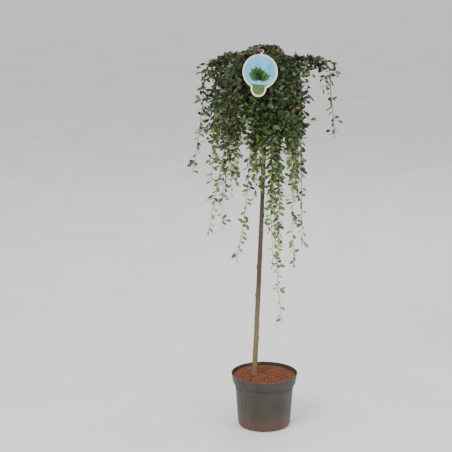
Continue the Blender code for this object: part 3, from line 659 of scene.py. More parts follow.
def label_frame():
    """The eye's middle on the bough, the disc's middle, and the label's right, down and front."""
    on_bough = bezier(bough_curve(LABEL_BOUGH), LABEL_STATION)
    right = Vector((math.cos(LABEL_TURN), 0.0, math.sin(LABEL_TURN)))
    down = Vector((math.sin(LABEL_TURN), -math.sin(LABEL_LEAN), -math.cos(LABEL_LEAN))).normalized()
    right = (right - down * right.dot(down)).normalized()
    top = on_bough - UP * (STRAP_INSIDE - bough_radius(LABEL_STATION) - GAP)
    middle = top + down * (STRAP_INSIDE + STRAP_LENGTH + DISC_RADIUS)
    return top, middle, right, down, down.cross(right).normalized()


LABEL_TOP, LABEL_MIDDLE, LABEL_RIGHT, LABEL_DOWN, LABEL_FRONT = label_frame()
print("label's disc at", LABEL_MIDDLE)


def hides_label(point, margin):
    """Whether a point is in the label or in the view that is kept open before it."""
    local = point - LABEL_MIDDLE
    across, below, before = local.dot(LABEL_RIGHT), local.dot(LABEL_DOWN), local.dot(LABEL_FRONT)
    in_disc = math.hypot(across, below) < DISC_RADIUS + margin
    in_lobe = abs(across) < LOBE_RADIUS + margin and 0.0 < below < LOBE_TIP - DISC_RADIUS + margin
    return before > -margin and (in_disc or in_lobe)


def near_stem(point, margin):
    """Whether a point is in the stem or nearly so."""
    around = KNOB_RADIUS if point.z > KNOB_FOOT else stem_radius(max(point.z, MIX_LEVEL)) + STEM_ROOM
    return point.z < STEM_TOP + margin and (point - stem_axis(point.z)).length < around + margin


# %% [markdown]
# The leaves are oval, widest at their middle or just past it, about 22 mm long, dark and leathery, and stand
# in two ranks along each twig. A flat card with a leaf picture would be cheaper, but it would look thin from
# the side. Each leaf here is 31 faces: a cupped sheet on a short stalk, with a curl and a roll of its own.

# %% Leaf shape
LEAF_LENGTH = 0.0225
LEAF_WIDTH = 0.0125
LEAF_WIDTH_SPREAD = (0.88, 1.1)
LEAF_CUP = 0.20
MIDRIB_DEPTH = 0.00035
STALK_LENGTH = 0.0026
STALK_RADIUS = 0.0005
LEAF_ROWS = ((0.0, 0.10), (0.10, 0.42), (0.28, 0.78), (0.50, 0.98), (0.70, 0.96), (0.87, 0.68), (0.97, 0.28))
LEAF_PLACES = (-1.0, -0.5, 0.0, 0.5, 1.0)
LEAF_FACES = 31
LEAF_TURN_SPREAD = (-0.9, 0.9)
LEAF_OPENING = (0.7, 1.35)
LEAF_ROLL = (-1.0, 1.0)
NEARLY_UPRIGHT = 0.25


def leaf_geometry(root, along, normal, size, curl, rng):
    """Points and faces of one leaf: a stalk, then rows of five points from edge to edge."""
    side = normal.cross(along).normalized()
    length, width = LEAF_LENGTH * size, LEAF_WIDTH * size * rng.uniform(*LEAF_WIDTH_SPREAD)
    stalk = STALK_LENGTH * size
    thin = STALK_RADIUS * size
    points = [root - side * thin, root + side * thin, root + normal * thin]
    base = root + along * stalk
    points += [base - side * thin, base + side * thin, base + normal * thin]
    faces = [(0, 1, 4, 3), (1, 2, 5, 4), (2, 0, 3, 5)]
    first = len(points)
    for share, half in LEAF_ROWS:
        middle = base + along * (share * length) + normal * (-curl * length * share * share)
        cup = LEAF_CUP * half * width / 2
        for place in LEAF_PLACES:
            lift = cup * abs(place) ** 1.5 - (MIDRIB_DEPTH * size if place == 0.0 else 0.0)
            points.append(middle + side * (place * half * width / 2) + normal * lift)
    tip = len(points)
    points.append(base + along * length - normal * (curl * length))
    across = len(LEAF_PLACES)
    rows = len(LEAF_ROWS)
    for r in range(rows - 1):
        for c in range(across - 1):
            a = first + r * across + c
            faces.append((a, a + 1, a + across + 1, a + across))
    last = first + (rows - 1) * across
    faces += [(last + c, last + c + 1, tip) for c in range(across - 1)]
    return points, faces


def leaf_pose(along_whip, rank, rng):
    """The direction and the normal of a leaf that opens from a twig, on one side of it or the other."""
    across = along_whip.cross(UP)
    if across.length < NEARLY_UPRIGHT:
        across = plan_direction(rng.uniform(0.0, FULL_TURN))
    across = (across - along_whip * across.dot(along_whip)).normalized()
    other = along_whip.cross(across)
    turn = math.pi * rank + rng.uniform(*LEAF_TURN_SPREAD)
    outward = across * math.cos(turn) + other * math.sin(turn)
    opening = rng.uniform(*LEAF_OPENING)
    along = (along_whip * math.cos(opening) + outward * math.sin(opening)).normalized()
    flat = (along_whip - along * along.dot(along_whip)).normalized()
    roll = rng.uniform(*LEAF_ROLL)
    normal = flat * -math.cos(roll) + along.cross(flat) * math.sin(roll)
    return along, normal.normalized()


# %% [markdown]
# A cotoneaster leaf has a waxy skin, and each is a little lighter and darker in places. Tones run from near
# black-green inside the crown to fresh yellow-green at the trailing tips, and a few leaves have turned brown.
# One material could vary its colour by place, but then whole leaves wouldn't differ from their neighbours. So
# each tone is a plain material of its own, dealt out leaf by leaf.

# %% Leaf and twig materials
MOTTLE_WAVES = 260.0  # a metre: one patch every 4 mm
VEIN_WAVES = 900.0  # one vein every 1.1 mm
STREAK_WAVES = 180.0  # one streak every 5.6 mm
FINE_DEPTH = 0.0003
BROWN_SHARE = 0.035
OUTER_FRESHNESS = 0.50
LOW_FRESHNESS = 0.42
FRESHNESS_SPREAD = (-0.28, 0.28)
TONE_LIMITS = ((0.22, "shade"), (0.46, "dark"), (0.66, "olive"), (0.90, "fresh"))


def leaf_material(name, dark, light, roughness):
    """A waxy leaf, satin rather than glossy, with a fine mottle."""
    material, tree, shader = new_material(name, roughness, Specular_IOR_Level=0.45)
    mottle = noise_field(tree, MOTTLE_WAVES, 3.0)
    stops = [(0.32, dark), (0.68, light)]
    colour = add_node(tree, "ShaderNodeValToRGB", {"Fac": mottle}, stops).outputs["Color"]
    tree.links.new(colour, shader.inputs["Base Color"])
    veins = noise_field(tree, VEIN_WAVES, 2.0)
    bump = add_node(tree, "ShaderNodeBump", {"Height": veins, "Distance": FINE_DEPTH, "Strength": 0.35})
    tree.links.new(bump.outputs["Normal"], shader.inputs["Normal"])
    return material


def twig_material(name, dark, light):
    """Thin bark of a one-year shoot, with upright streaks."""
    material, tree, shader = new_material(name, 0.6)
    streaks = noise_field(tree, STREAK_WAVES, 3.0, (1.0, 1.0, 0.2))
    stops = [(0.3, dark), (0.7, light)]
    colour = add_node(tree, "ShaderNodeValToRGB", {"Fac": streaks}, stops).outputs["Color"]
    tree.links.new(colour, shader.inputs["Base Color"])
    bump = add_node(tree, "ShaderNodeBump", {"Height": streaks, "Distance": FINE_DEPTH, "Strength": 0.5})
    tree.links.new(bump.outputs["Normal"], shader.inputs["Normal"])
    return material


LEAF_TONES = {
    "shade": leaf_material("leaf_shade_green", "27361f", "3d5030", 0.42),
    "dark": leaf_material("leaf_dark_green", "36492a", "506638", 0.38),
    "olive": leaf_material("leaf_olive_green", "556633", "70803f", 0.42),
    "fresh": leaf_material("leaf_fresh_green", "6c8440", "8aa352", 0.45),
    "tip": leaf_material("leaf_young_tip", "93a85c", "b3c277", 0.5),
    "brown": leaf_material("leaf_turned_brown", "6b4a2c", "8a6a3c", 0.55),
}
TWIG_BROWN = twig_material("twig_brown", "4b2f25", "6d4636")
TWIG_GREEN = twig_material("twig_green_tip", "6a5a34", "8a8a48")
print(len(LEAF_TONES), "leaf tones and two twig finishes")


def pick_tone(height_share, outer, rng):
    """The tone of a leaf: darker high up and inside, fresher low down and at a whip's end."""
    freshness = OUTER_FRESHNESS * outer + LOW_FRESHNESS * (1.0 - height_share)
    freshness += rng.uniform(*FRESHNESS_SPREAD)
    if rng.random() < BROWN_SHARE:
        return "brown"
    for limit, tone in TONE_LIMITS:
        if freshness < limit:
            return tone
    return "tip"


def add_leaf_pieces(place, leaves):
    """One piece for each tone that has leaves at this place of the crown, and the number of leaves."""
    for tone, gathered in leaves.items():
        if gathered.faces:
            add_piece(f"leaves_{place}_{tone}", gathered, LEAF_TONES[tone])
    return sum(len(gathered.faces) // LEAF_FACES for gathered in leaves.values())


# %% [markdown]
# Now the crown grows. Each mass repeats its whips, then adds finer ones between them, and short side spurs
# near the top where the crown is thick. A particle system could scatter leaves, but it knows nothing of the
# stem or the label. Here a leaf is left out where it would stand in the stem or before the label.

# %% Growing the masses
LEAF_SPACING = 0.0145
SPACING_SPREAD = (0.7, 1.3)
LEAF_SIZES = (0.72, 1.12)
LEAF_CURL = (-0.05, 0.22)
TIP_FROM = 0.75
TIP_SHRINK = 0.30
TONE_LOW = 0.5
TONE_RISE = 0.9
LEAF_TIP_MARGIN = 0.004
LEAF_ROOT_MARGIN = 0.002
WHIP_BARE_START = 0.004
WHIP_OUTER = (0.0, 1.0)
WHIP_RINGS = 34
WHIP_SIDES = 5
WHIP_HELD_RINGS = 6
WHIP_LABEL_MARGIN = 0.003
WHIP_STEM_MARGIN = 0.002
WIGGLE_WAVES = 40
WIGGLE_SHIFT = 9
WIGGLE_RINGS = 5
WIGGLE = 0.0016
WHIP_TAPER = 0.55
GREEN_FROM = 0.72
LEAD_RADIUS = 0.0021
BRANCH_RADIUS = 0.0016
FINE_RADIUS = 0.0012
FINE_PER_WHIP = 3
FINE_SHARE_SPREAD = (0.75, 1.15)
FINE_LIFT = (0.0, 0.10)
SPUR_SPACING = 0.030
SPUR_SPACING_SPREAD = (0.6, 1.6)
SPUR_REACH = (0.022, 0.05)
SPUR_DENSE_ABOVE = 1.1
SPUR_LOW_REACH = 0.55
SPUR_LOW_SPACING = 3.0
SPUR_DROOP, SPUR_RISE = 0.5, 0.15
SPUR_RADII = [0.0009 - 0.0001 * i for i in range(6)]
SPUR_SIDES = 4
SPUR_LEAF_SPACING = 0.0095
SPUR_OUTER = (0.05, 0.5)
SPUR_LABEL_MARGIN = 0.006
SPUR_STEM_MARGIN = 0.004
BOX_MARGIN = 0.012


def inside_box(point):
    """Whether a point is inside the solids' box by a margin."""
    low, high = cad_box
    return all(low[i] + BOX_MARGIN < point[i] < high[i] - BOX_MARGIN for i in range(3))


def leaf_fits(root, tip):
    """Whether a leaf is between floor and top, clear of the stem and not before the label."""
    if not cad_box[0][2] < tip.z < cad_box[1][2]:
        return False
    if near_stem(tip, LEAF_TIP_MARGIN) or near_stem(root, LEAF_ROOT_MARGIN):
        return False
    return not hides_label(tip, LEAF_TIP_MARGIN) and not hides_label(root, LEAF_TIP_MARGIN)


def add_leaves(points, spacing, rng, leaves, outer_span, skip_first=WHIP_BARE_START):
    """Leaves along a chain of points, in two loose ranks; they get fresher across the span given."""
    inmost, outmost = outer_span
    total = sum((b - a).length for a, b in zip(points, points[1:]))
    travelled, wanted, rank = 0.0, skip_first, rng.randint(0, 1)
    for a, b in zip(points, points[1:]):
        piece = b - a
        while wanted <= travelled + piece.length and piece.length > 0:
            root = a + piece * ((wanted - travelled) / piece.length)
            share = wanted / total
            outer = inmost + (outmost - inmost) * share**1.5
            along, normal = leaf_pose(piece.normalized(), rank, rng)
            size = rng.uniform(*LEAF_SIZES)
            size *= 1.0 - TIP_SHRINK * max(outer - TIP_FROM, 0.0) * 4 * rng.random()
            tip = root + along * (LEAF_LENGTH * size + STALK_LENGTH)
            if leaf_fits(root, tip):
                tone = pick_tone(clamp_share((root.z - TONE_LOW) / TONE_RISE), outer, rng)
                leaves[tone].add(*leaf_geometry(root, along, normal, size, rng.uniform(*LEAF_CURL), rng))
            wanted += spacing * rng.uniform(*SPACING_SPREAD)
            rank += 1
        travelled += piece.length


def add_spurs(points, rng, twigs, leaves):
    """Short leafy side shoots along a whip, dense above a height and sparse below it."""
    travelled, wanted = 0.0, SPUR_SPACING * rng.random()
    for a, b in zip(points, points[1:]):
        piece = b - a
        while wanted <= travelled + piece.length and piece.length > 0:
            root = a + piece * ((wanted - travelled) / piece.length)
            dense = root.z > SPUR_DENSE_ABOVE
            outward = plan_direction(rng.uniform(0.0, FULL_TURN))
            reach = rng.uniform(*SPUR_REACH) * (1.0 if dense else SPUR_LOW_REACH)
            chain = []
            for t in spread(len(SPUR_RADII)):
                fall = SPUR_DROOP * reach * t * t - SPUR_RISE * reach * t
                chain.append(root + outward * reach * t - UP * fall)
            blocked = any(hides_label(p, SPUR_LABEL_MARGIN) or near_stem(p, SPUR_STEM_MARGIN) for p in chain)
            if not blocked and inside_box(chain[-1]):
                twigs.add(*tube_geometry(chain, SPUR_RADII, SPUR_SIDES))
                add_leaves(chain, SPUR_LEAF_SPACING, rng, leaves, SPUR_OUTER)
            wanted += SPUR_SPACING * rng.uniform(*SPUR_SPACING_SPREAD) * (1.0 if dense else SPUR_LOW_SPACING)
        travelled += piece.length


def add_whip(whip, radius, rng, twigs, tips, leaves, spurs):
    """A whip's tube, brown above and green at its end, with its leaves; False where it has no room."""
    points = [whip_point(whip, t) for t in spread(WHIP_RINGS)]
    hanging = points[WHIP_HELD_RINGS:]
    if any(hides_label(p, WHIP_LABEL_MARGIN) or near_stem(p, WHIP_STEM_MARGIN) for p in hanging):
        return False
    for i, p in enumerate(points):
        place = p * WIGGLE_WAVES
        wiggle = Vector((noise.noise(place), noise.noise(place + UP * WIGGLE_SHIFT), 0.0)) * WIGGLE
        points[i] = p + wiggle * min(i / WIGGLE_RINGS, 1.0)
    radii = [radius * (1.0 - WHIP_TAPER * i / (WHIP_RINGS - 1)) for i in range(WHIP_RINGS)]
    cut = int(WHIP_RINGS * GREEN_FROM)
    twigs.add(*tube_geometry(points[: cut + 1], radii[: cut + 1], WHIP_SIDES))
    tips.add(*tube_geometry(points[cut:], radii[cut:], WHIP_SIDES))
    add_leaves(points, LEAF_SPACING, rng, leaves, WHIP_OUTER)
    if spurs:
        add_spurs(points, rng, twigs, leaves)
    return True


def grow_mass(name):
    """One mass of foliage: its whips, finer whips between them, spurs and leaves."""
    m = MASSES[name]
    twigs, tips = Gathered(), Gathered()
    leaves = {tone: Gathered() for tone in LEAF_TONES}
    rng = random.Random(SEED * 31 + m.azimuth)
    grown = [add_whip(leading_whip(name), LEAD_RADIUS, rng, twigs, tips, leaves, True)]
    for number in range(m.whips):
        draw = random.Random(SEED * 1000 + m.azimuth * 10 + 7 * number + 1)
        side = 1.0 if number % 2 == 0 else -1.0
        share = (number + 0.5) / m.whips
        whip = branch_whip(name, share, side, draw)
        grown.append(add_whip(whip, BRANCH_RADIUS, rng, twigs, tips, leaves, True))
        for extra in range(FINE_PER_WHIP):
            fine = random.Random(SEED * 7919 + m.azimuth * 100 + number * 10 + extra)
            fine_share = min(share * fine.uniform(*FINE_SHARE_SPREAD), 1.0)
            whip = branch_whip(name, fine_share, -side if extra else side, fine)
            whip["tip"].z += fine.uniform(*FINE_LIFT)
            grown.append(add_whip(whip, FINE_RADIUS, rng, twigs, tips, leaves, extra == 0))
    add_piece(f"whips_{name}", twigs, TWIG_BROWN, [f"foliage_{name}"])
    add_piece(f"whip_ends_{name}", tips, TWIG_GREEN)
    count = add_leaf_pieces(name, leaves)
    print(name, sum(grown), "whips", count, "leaves")
    return count


leaf_count = sum(grow_mass(mass_name) for mass_name in MASSES)
print("leaves in the ten masses", leaf_count)

# %% [markdown]
# Over the knob the boughs would lie bare. On a grafted head short shoots fan out there between them, and
# their leaves make the crown's top. They are grown like the spurs, but from one upright shoot.

# %% Top of the crown
TOP_REACH = 0.060
TOP_REACH_SPREAD = (0.6, 1.25)
TOP_STEM_HEIGHT = 1.399
TOP_STEM_OVERLAP = 0.002
TOP_STEM_RADII = (0.0026, 0.0025, 0.0023, 0.0021, 0.0019, 0.0016)
TOP_STEM_SIDES = 6
TOP_SHOOTS = 26
TOP_TURN_SPREAD = (-0.3, 0.3)
TOP_BEND_SHARES = (0.3, 0.7)
TOP_RISE = 0.003
TOP_HEIGHT = 1.402
TOP_HEIGHT_SPREAD = (-0.006, 0.007)
TOP_FOOT_BELOW = (0.001, 0.012)
TOP_TIP_BELOW = (0.004, 0.02)
TOP_RADII = [0.0012 - 0.00008 * i for i in range(9)]
TOP_LEAF_SPACING = 0.0105
TOP_OUTER = (0.0, 0.45)
TOP_BARE_START = 0.012


def grow_top():
    """The upright shoot on the knob, the shoots that fan out from it, and their leaves."""
    twigs = Gathered()
    leaves = {tone: Gathered() for tone in LEAF_TONES}
    rng = random.Random(SEED * 17)
    foot = STEM_TOP - TOP_STEM_OVERLAP
    run = TOP_STEM_HEIGHT + TOP_STEM_OVERLAP - STEM_TOP
    upright = [UP * (foot + run * t) for t in spread(len(TOP_STEM_RADII))]
    twigs.add(*tube_geometry(upright, TOP_STEM_RADII, TOP_STEM_SIDES))
    near, far = TOP_BEND_SHARES
    for number in range(TOP_SHOOTS):
        azimuth = 360.0 * (number + rng.uniform(*TOP_TURN_SPREAD)) / TOP_SHOOTS
        reach = TOP_REACH * rng.uniform(*TOP_REACH_SPREAD)
        high = TOP_HEIGHT + rng.uniform(*TOP_HEIGHT_SPREAD)
        start = UP * (TOP_STEM_HEIGHT - rng.uniform(*TOP_FOOT_BELOW))
        first = polar(azimuth, reach * near, high + TOP_RISE)
        second = polar(azimuth, reach * far, high)
        tip = polar(azimuth, reach, high - rng.uniform(*TOP_TIP_BELOW))
        chain = [bezier((start, first, second, tip), t) for t in spread(len(TOP_RADII))]
        twigs.add(*tube_geometry(chain, TOP_RADII, WHIP_SIDES))
        add_leaves(chain, TOP_LEAF_SPACING, rng, leaves, TOP_OUTER, TOP_BARE_START)
    add_piece("shoots_top", twigs, TWIG_BROWN, ["foliage_top"])
    print("leaves on top", add_leaf_pieces("top", leaves))


grow_top()

# %% [markdown]
# A few berries are left among the leaves: small, round and orange-red, each on a short stalk. They sit by the
# arches of the leading whips, where the crown is thick. Each could be an object of its own, but they are so
# small and alike that they make one piece, and their stalks another.

# %% Berries
BERRIES_PER_MASS = 2
BERRY_RADII = (0.0030, 0.0038)
BERRY_FLATTENED = 0.82
BERRY_ROWS = 7
BERRY_SIDES = 10
BERRY_STATIONS = (0.08, 0.34)
BERRY_OUT = 0.007
BERRY_UP = (-0.002, 0.004)
BERRY_LABEL_MARGIN = 0.006
BERRY_STALK_RADII = (0.0005, 0.0004, 0.0004)
BERRY_STALK_BEND = 0.6
BLUSH_WAVES = 150.0  # a metre: one patch every 7 mm


def berry_geometry(middle, radius):
    """Points and faces of a small sphere that is a little flattened underneath."""
    points, faces = [], []
    for r in range(1, BERRY_ROWS):
        a = math.pi * r / BERRY_ROWS
        for k in range(BERRY_SIDES):
            b = FULL_TURN * k / BERRY_SIDES
            outward = Vector((math.sin(a) * math.cos(b), math.sin(a) * math.sin(b), math.cos(a)))
            points.append(middle + outward * radius)
    top, bottom = len(points), len(points) + 1
    points += [middle + UP * radius, middle - UP * radius * BERRY_FLATTENED]
    for r in range(BERRY_ROWS - 2):
        low, high = r * BERRY_SIDES, (r + 1) * BERRY_SIDES
        for k in range(BERRY_SIDES):
            after = (k + 1) % BERRY_SIDES
            faces.append((low + k, high + k, high + after, low + after))
    last = (BERRY_ROWS - 2) * BERRY_SIDES
    for k in range(BERRY_SIDES):
        after = (k + 1) % BERRY_SIDES
        faces += [(top, k, after), (bottom, last + after, last + k)]
    return points, faces


def make_berries():
    """The scattered berries, two at most for each mass."""
    berries, stalks = Gathered(), Gathered()
    rng = random.Random(SEED * 3)
    for name in MASSES:
        whip = leading_whip(name)
        for _ in range(BERRIES_PER_MASS):
            root = whip_point(whip, rng.uniform(*BERRY_STATIONS))
            outward = plan_direction(rng.uniform(0.0, FULL_TURN))
            middle = root + outward * BERRY_OUT + UP * rng.uniform(*BERRY_UP)
            if not hides_label(middle, BERRY_LABEL_MARGIN) and inside_box(middle):
                berries.add(*berry_geometry(middle, rng.uniform(*BERRY_RADII)))
                chain = [root, root.lerp(middle, BERRY_STALK_BEND), middle]
                stalks.add(*tube_geometry(chain, BERRY_STALK_RADII, SPUR_SIDES))
    # Smooth, firm fruit skin: a low roughness gives it a small bright glint.
    material, tree, shader = new_material("berry_skin", 0.28)
    blush = noise_field(tree, BLUSH_WAVES)
    stops = [(0.35, "b5301c"), (0.7, "e0562c")]
    colour = add_node(tree, "ShaderNodeValToRGB", {"Fac": blush}, stops).outputs["Color"]
    tree.links.new(colour, shader.inputs["Base Color"])
    add_piece("berries", berries, material)
    add_piece("berry_stalks", stalks, TWIG_BROWN)
    print("berries", len(berries.points) // (BERRY_SIDES * (BERRY_ROWS - 1) + 2))


make_berries()

# %% [markdown]
# The pot is thin moulded polypropylene, once black and faded to a brownish grey. Dust has dried round its
# foot, and light scuffs run round its wall. It could be modelled again, but the solid has the right form,
# with its rim, bead and drain notches, so it keeps its shape and gets the finish.

# %% Pot material
DUST_TOP = 0.075
FADE_WAVES = 22.0  # a metre: one patch every 45 mm
DUST_WAVES = 160.0  # one grain every 6 mm, coarser than the real ones so that they show
SCUFF_WAVES = 90.0  # one scuff every 11 mm, before they are stretched round the wall
SCUFF_DEPTH = 0.0002
ROUGH_FROM, ROUGH_TO = 0.36, 0.62


def pot_material():
    """Faded plastic, half glossy and uneven, with dust near its foot and lighter scuffs."""
    material, tree, shader = new_material("faded_pot_plastic", 0.42)
    fade = noise_field(tree, FADE_WAVES, 5.0, (1.0, 1.0, 0.6))
    stops = [(0.3, "2b2724"), (0.7, "40372f")]
    base = add_node(tree, "ShaderNodeValToRGB", {"Fac": fade}, stops).outputs["Color"]
    grains = noise_field(tree, DUST_WAVES, 6.0)
    scuffs = noise_field(tree, SCUFF_WAVES, 6.0, (0.25, 0.25, 6.0))
    limits = {"Value": height_above_ground(tree), "From Min": DUST_TOP, "From Max": 0.0}
    low = add_node(tree, "ShaderNodeMapRange", limits).outputs["Result"]
    dust = add_node(tree, "ShaderNodeMath", {0: low, 1: grains}, operation="MULTIPLY").outputs[0]
    tones = {MIX_FACTOR: dust, MIX_FIRST: base, MIX_SECOND: linear("6e4a33")}
    dusty = add_node(tree, "ShaderNodeMix", tones, data_type="RGBA").outputs[MIX_RESULT]
    limits = {"Value": scuffs, "From Min": 0.60, "From Max": 0.80, "To Max": 0.5}
    scuffed = add_node(tree, "ShaderNodeMapRange", limits).outputs["Result"]
    tones = {MIX_FACTOR: scuffed, MIX_FIRST: dusty, MIX_SECOND: linear("6d6258")}
    colour = add_node(tree, "ShaderNodeMix", tones, data_type="RGBA").outputs[MIX_RESULT]
    tree.links.new(colour, shader.inputs["Base Color"])
    limits = {"Value": grains, "To Min": ROUGH_FROM, "To Max": ROUGH_TO}
    roughness = add_node(tree, "ShaderNodeMapRange", limits).outputs["Result"]
    tree.links.new(roughness, shader.inputs["Roughness"])
    bump = add_node(tree, "ShaderNodeBump", {"Height": scuffs, "Distance": SCUFF_DEPTH, "Strength": 0.4})
    tree.links.new(bump.outputs["Normal"], shader.inputs["Normal"])
    return material


dress_node("pot", pot_material())
print("pot dressed in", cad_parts["pot"].data.materials[0].name)

# %% [markdown]
# The potting mix is bark and coir fines, reddish brown and crumbly. A flat disc with a bump would do from
# afar. From near, it is loose chips and their shadows that look crumbly, so thousands of them lie on a skin
# that follows the solid's level. A chip is a block of six faces, because there are so many.

# %% Potting mix
MIX_RADIUS = 0.1165
MIX_RINGS = 60
MIX_SIDES = 120
HUMP_WAVES = 45
HUMP_HEIGHT = 0.0016
EDGE_FROM = 0.75
EDGE_DROP = 0.0035
CRUMB_WAVES = 320
CRUMB_HEIGHT = 0.0009
CRUMB_LANE = 5.0
CHIP_LENGTH = (0.002, 0.007)
CHIP_WIDTH = (0.001, 0.003)
CHIP_THICKNESS = (0.0005, 0.0014)
CHIP_TILT = (-0.35, 0.35)
CHIP_ROLL = (-0.4, 0.4)
CHIP_LEVELS = (-0.0006, 0.0016)
CHIP_REACH = 0.975
CHIP_STEM_ROOM = 0.001
CHIP_CORNERS = (
    (-1, -1, -1), (1, -0.7, -1), (1, 0.7, -1), (-1, 1, -1),
    (-0.9, -0.8, 1), (0.9, -0.5, 1), (0.9, 0.5, 1), (-0.9, 0.8, 1),
)
BLOCK_FACES = [(3, 2, 1, 0), (4, 5, 6, 7), (0, 1, 5, 4), (1, 2, 6, 5), (2, 3, 7, 6), (3, 0, 4, 7)]
FINES_WAVES = 240.0  # a metre: one crumb every 4 mm
FINES_DEPTH = 0.003


def mix_material(name, tones):
    """Bark fines in a few tones: dull, with a deep bump."""
    material, tree, shader = new_material(name, 0.95)
    crumbs = noise_field(tree, FINES_WAVES, 6.0)
    stops = [(0.25 + 0.5 * i / (len(tones) - 1), tone) for i, tone in enumerate(tones)]
    colour = add_node(tree, "ShaderNodeValToRGB", {"Fac": crumbs}, stops).outputs["Color"]
    tree.links.new(colour, shader.inputs["Base Color"])
    bump = add_node(tree, "ShaderNodeBump", {"Height": crumbs, "Distance": FINES_DEPTH, "Strength": 0.9})
    tree.links.new(bump.outputs["Normal"], shader.inputs["Normal"])
    return material


def mix_height(x, y):
    """The level of the mix at a place: nearly flat, with soft humps and a fall to the rim."""
    reach = math.hypot(x, y)
    humps = HUMP_HEIGHT * noise.noise(Vector((x * HUMP_WAVES, y * HUMP_WAVES, 0.0)))
    return MIX_LEVEL + humps - EDGE_DROP * max(reach / MIX_RADIUS - EDGE_FROM, 0.0) * 4


def make_mix_surface():
    """A crumbly skin over the mix, with its humps in the mesh."""
    points, faces = [Vector((0.0, 0.0, mix_height(0, 0)))], []
    for r in range(1, MIX_RINGS + 1):
        reach = MIX_RADIUS * r / MIX_RINGS
        for k in range(MIX_SIDES):
            a = FULL_TURN * k / MIX_SIDES
            x, y = reach * math.cos(a), reach * math.sin(a)
            crumb = CRUMB_HEIGHT * noise.noise(Vector((x * CRUMB_WAVES, y * CRUMB_WAVES, CRUMB_LANE)))
            points.append(Vector((x, y, mix_height(x, y) + crumb)))
    faces += [(0, 1 + k, 1 + (k + 1) % MIX_SIDES) for k in range(MIX_SIDES)]
    for r in range(MIX_RINGS - 1):
        for k in range(MIX_SIDES):
            a, b = 1 + r * MIX_SIDES + k, 1 + r * MIX_SIDES + (k + 1) % MIX_SIDES
            faces.append((a, a + MIX_SIDES, b + MIX_SIDES, b))
    material = mix_material("potting_mix_crumb", ("3a2016", "6b3820", "8f5532"))
    add_piece("mix_surface", Gathered(points, faces), material)
    dress_node("potting_mix", material)


def chip_geometry(middle, rng):
    """A flat splinter of bark, turned any way."""
    length, width = rng.uniform(*CHIP_LENGTH), rng.uniform(*CHIP_WIDTH)
    thick = rng.uniform(*CHIP_THICKNESS)
    along = Vector((rng.uniform(-1, 1), rng.uniform(-1, 1), rng.uniform(*CHIP_TILT))).normalized()
    side = along.cross(Vector((rng.uniform(*CHIP_ROLL), rng.uniform(*CHIP_ROLL), 1.0))).normalized()
    up = side.cross(along)
    corners = []
    for x, y, z in CHIP_CORNERS:
        corners.append(middle + along * (x * length / 2) + side * (y * width / 2) + up * (z * thick / 2))
    return corners, BLOCK_FACES


def scatter_chips(tone, count, material):
    """Loose chips of one tone over the whole surface, clear of the stem's foot."""
    chips = Gathered()
    rng = random.Random(SEED + len(tone) * 13)
    for _ in range(count):
        reach, turn = MIX_RADIUS * math.sqrt(rng.random()) * CHIP_REACH, rng.uniform(0, FULL_TURN)
        x, y = reach * math.cos(turn), reach * math.sin(turn)
        middle = Vector((x, y, mix_height(x, y) + rng.uniform(*CHIP_LEVELS)))
        if (middle.xy - STEM_FOOT.xy).length > FLARE_RADIUS + CHIP_STEM_ROOM:
            chips.add(*chip_geometry(middle, rng))
    add_piece(f"mix_chips_{tone}", chips, material, smooth_angle=None)
    print(tone, "chips", len(chips.faces) // len(BLOCK_FACES))


make_mix_surface()
scatter_chips("red", 2600, mix_material("bark_fines_red", ("5a2c1c", "8a4a2c", "a5673c")))
scatter_chips("dark", 1500, mix_material("bark_fines_dark", ("2c1a12", "4a2a1c", "5c3a28")))
scatter_chips("pale", 500, mix_material("coir_pale", ("8a6238", "a98050", "c29a66")))

# %% [markdown]
# The hang label is a printed plastic card. Its print is plain and generic: a pale rim, a lime line and a blue
# field, with a fan of green leaves and a green lobe with red dots. A picture could be laid on the card. Here
# each colour is a thin layer of its own, 0.12 mm above the one below, so that the edges stay sharp.

# %% Label
LAYER = 0.00012
OUTLINE_STEPS = 96
LOBE_STEPS = 30
LOBE_STRETCH = 1.15
LIME_INSET = 0.0042
FIELD_INSET = 0.0066
LOBE_PRINT_FROM = 0.044
FAN_FOOT = (0.0, 0.030)
FAN_LEAVES = 7
FAN_START, FAN_STEP = -150, 20
FAN_LENGTH = 0.046
FAN_UNEVENNESS = 0.006
PRINTED_LEAF_WIDTH = 0.30
PRINTED_LEAF_POWER = 0.8
PRINTED_LEAF_STEPS = 9
DOTS = 5
DOT_START = (-0.013, 0.062)
DOT_STEP = (0.0065, 0.005)
DOT_RADIUS = 0.0021
DOT_SIDES = 20
INK_WAVES = 40.0  # a metre: the ink is uneven every 25 mm
FIELD_INK_WAVES = 24.0  # and the blue field every 42 mm
EYE_STEPS = 40
EYE_STATION_STEP = 0.02
EYE_SHARP_ANGLE = 40
NECK_TOP_SHARE = 0.6
NECK_OVERLAP = 0.004


def label_outline(inset=0.0):
    """The label's outline, moved inwards by an inset."""
    disc, lobe = DISC_RADIUS - inset, LOBE_RADIUS - inset
    neck = math.asin(lobe / disc)
    start = math.pi / 2 + neck
    turns = [start + (FULL_TURN - 2 * neck) * i / OUTLINE_STEPS for i in range(OUTLINE_STEPS + 1)]
    outline = [(disc * math.cos(a), disc * math.sin(a)) for a in turns]
    lobe_middle = LOBE_TIP - DISC_RADIUS - LOBE_RADIUS * LOBE_STRETCH
    for i in range(1, LOBE_STEPS):
        a = math.pi * i / LOBE_STEPS
        outline.append((lobe * math.cos(a), lobe_middle + lobe * LOBE_STRETCH * math.sin(a)))
    return outline


def circle_outline(middle, radius, count):
    """A round outline."""
    turns = [FULL_TURN * k / count for k in range(count)]
    return [(middle[0] + radius * math.cos(a), middle[1] + radius * math.sin(a)) for a in turns]


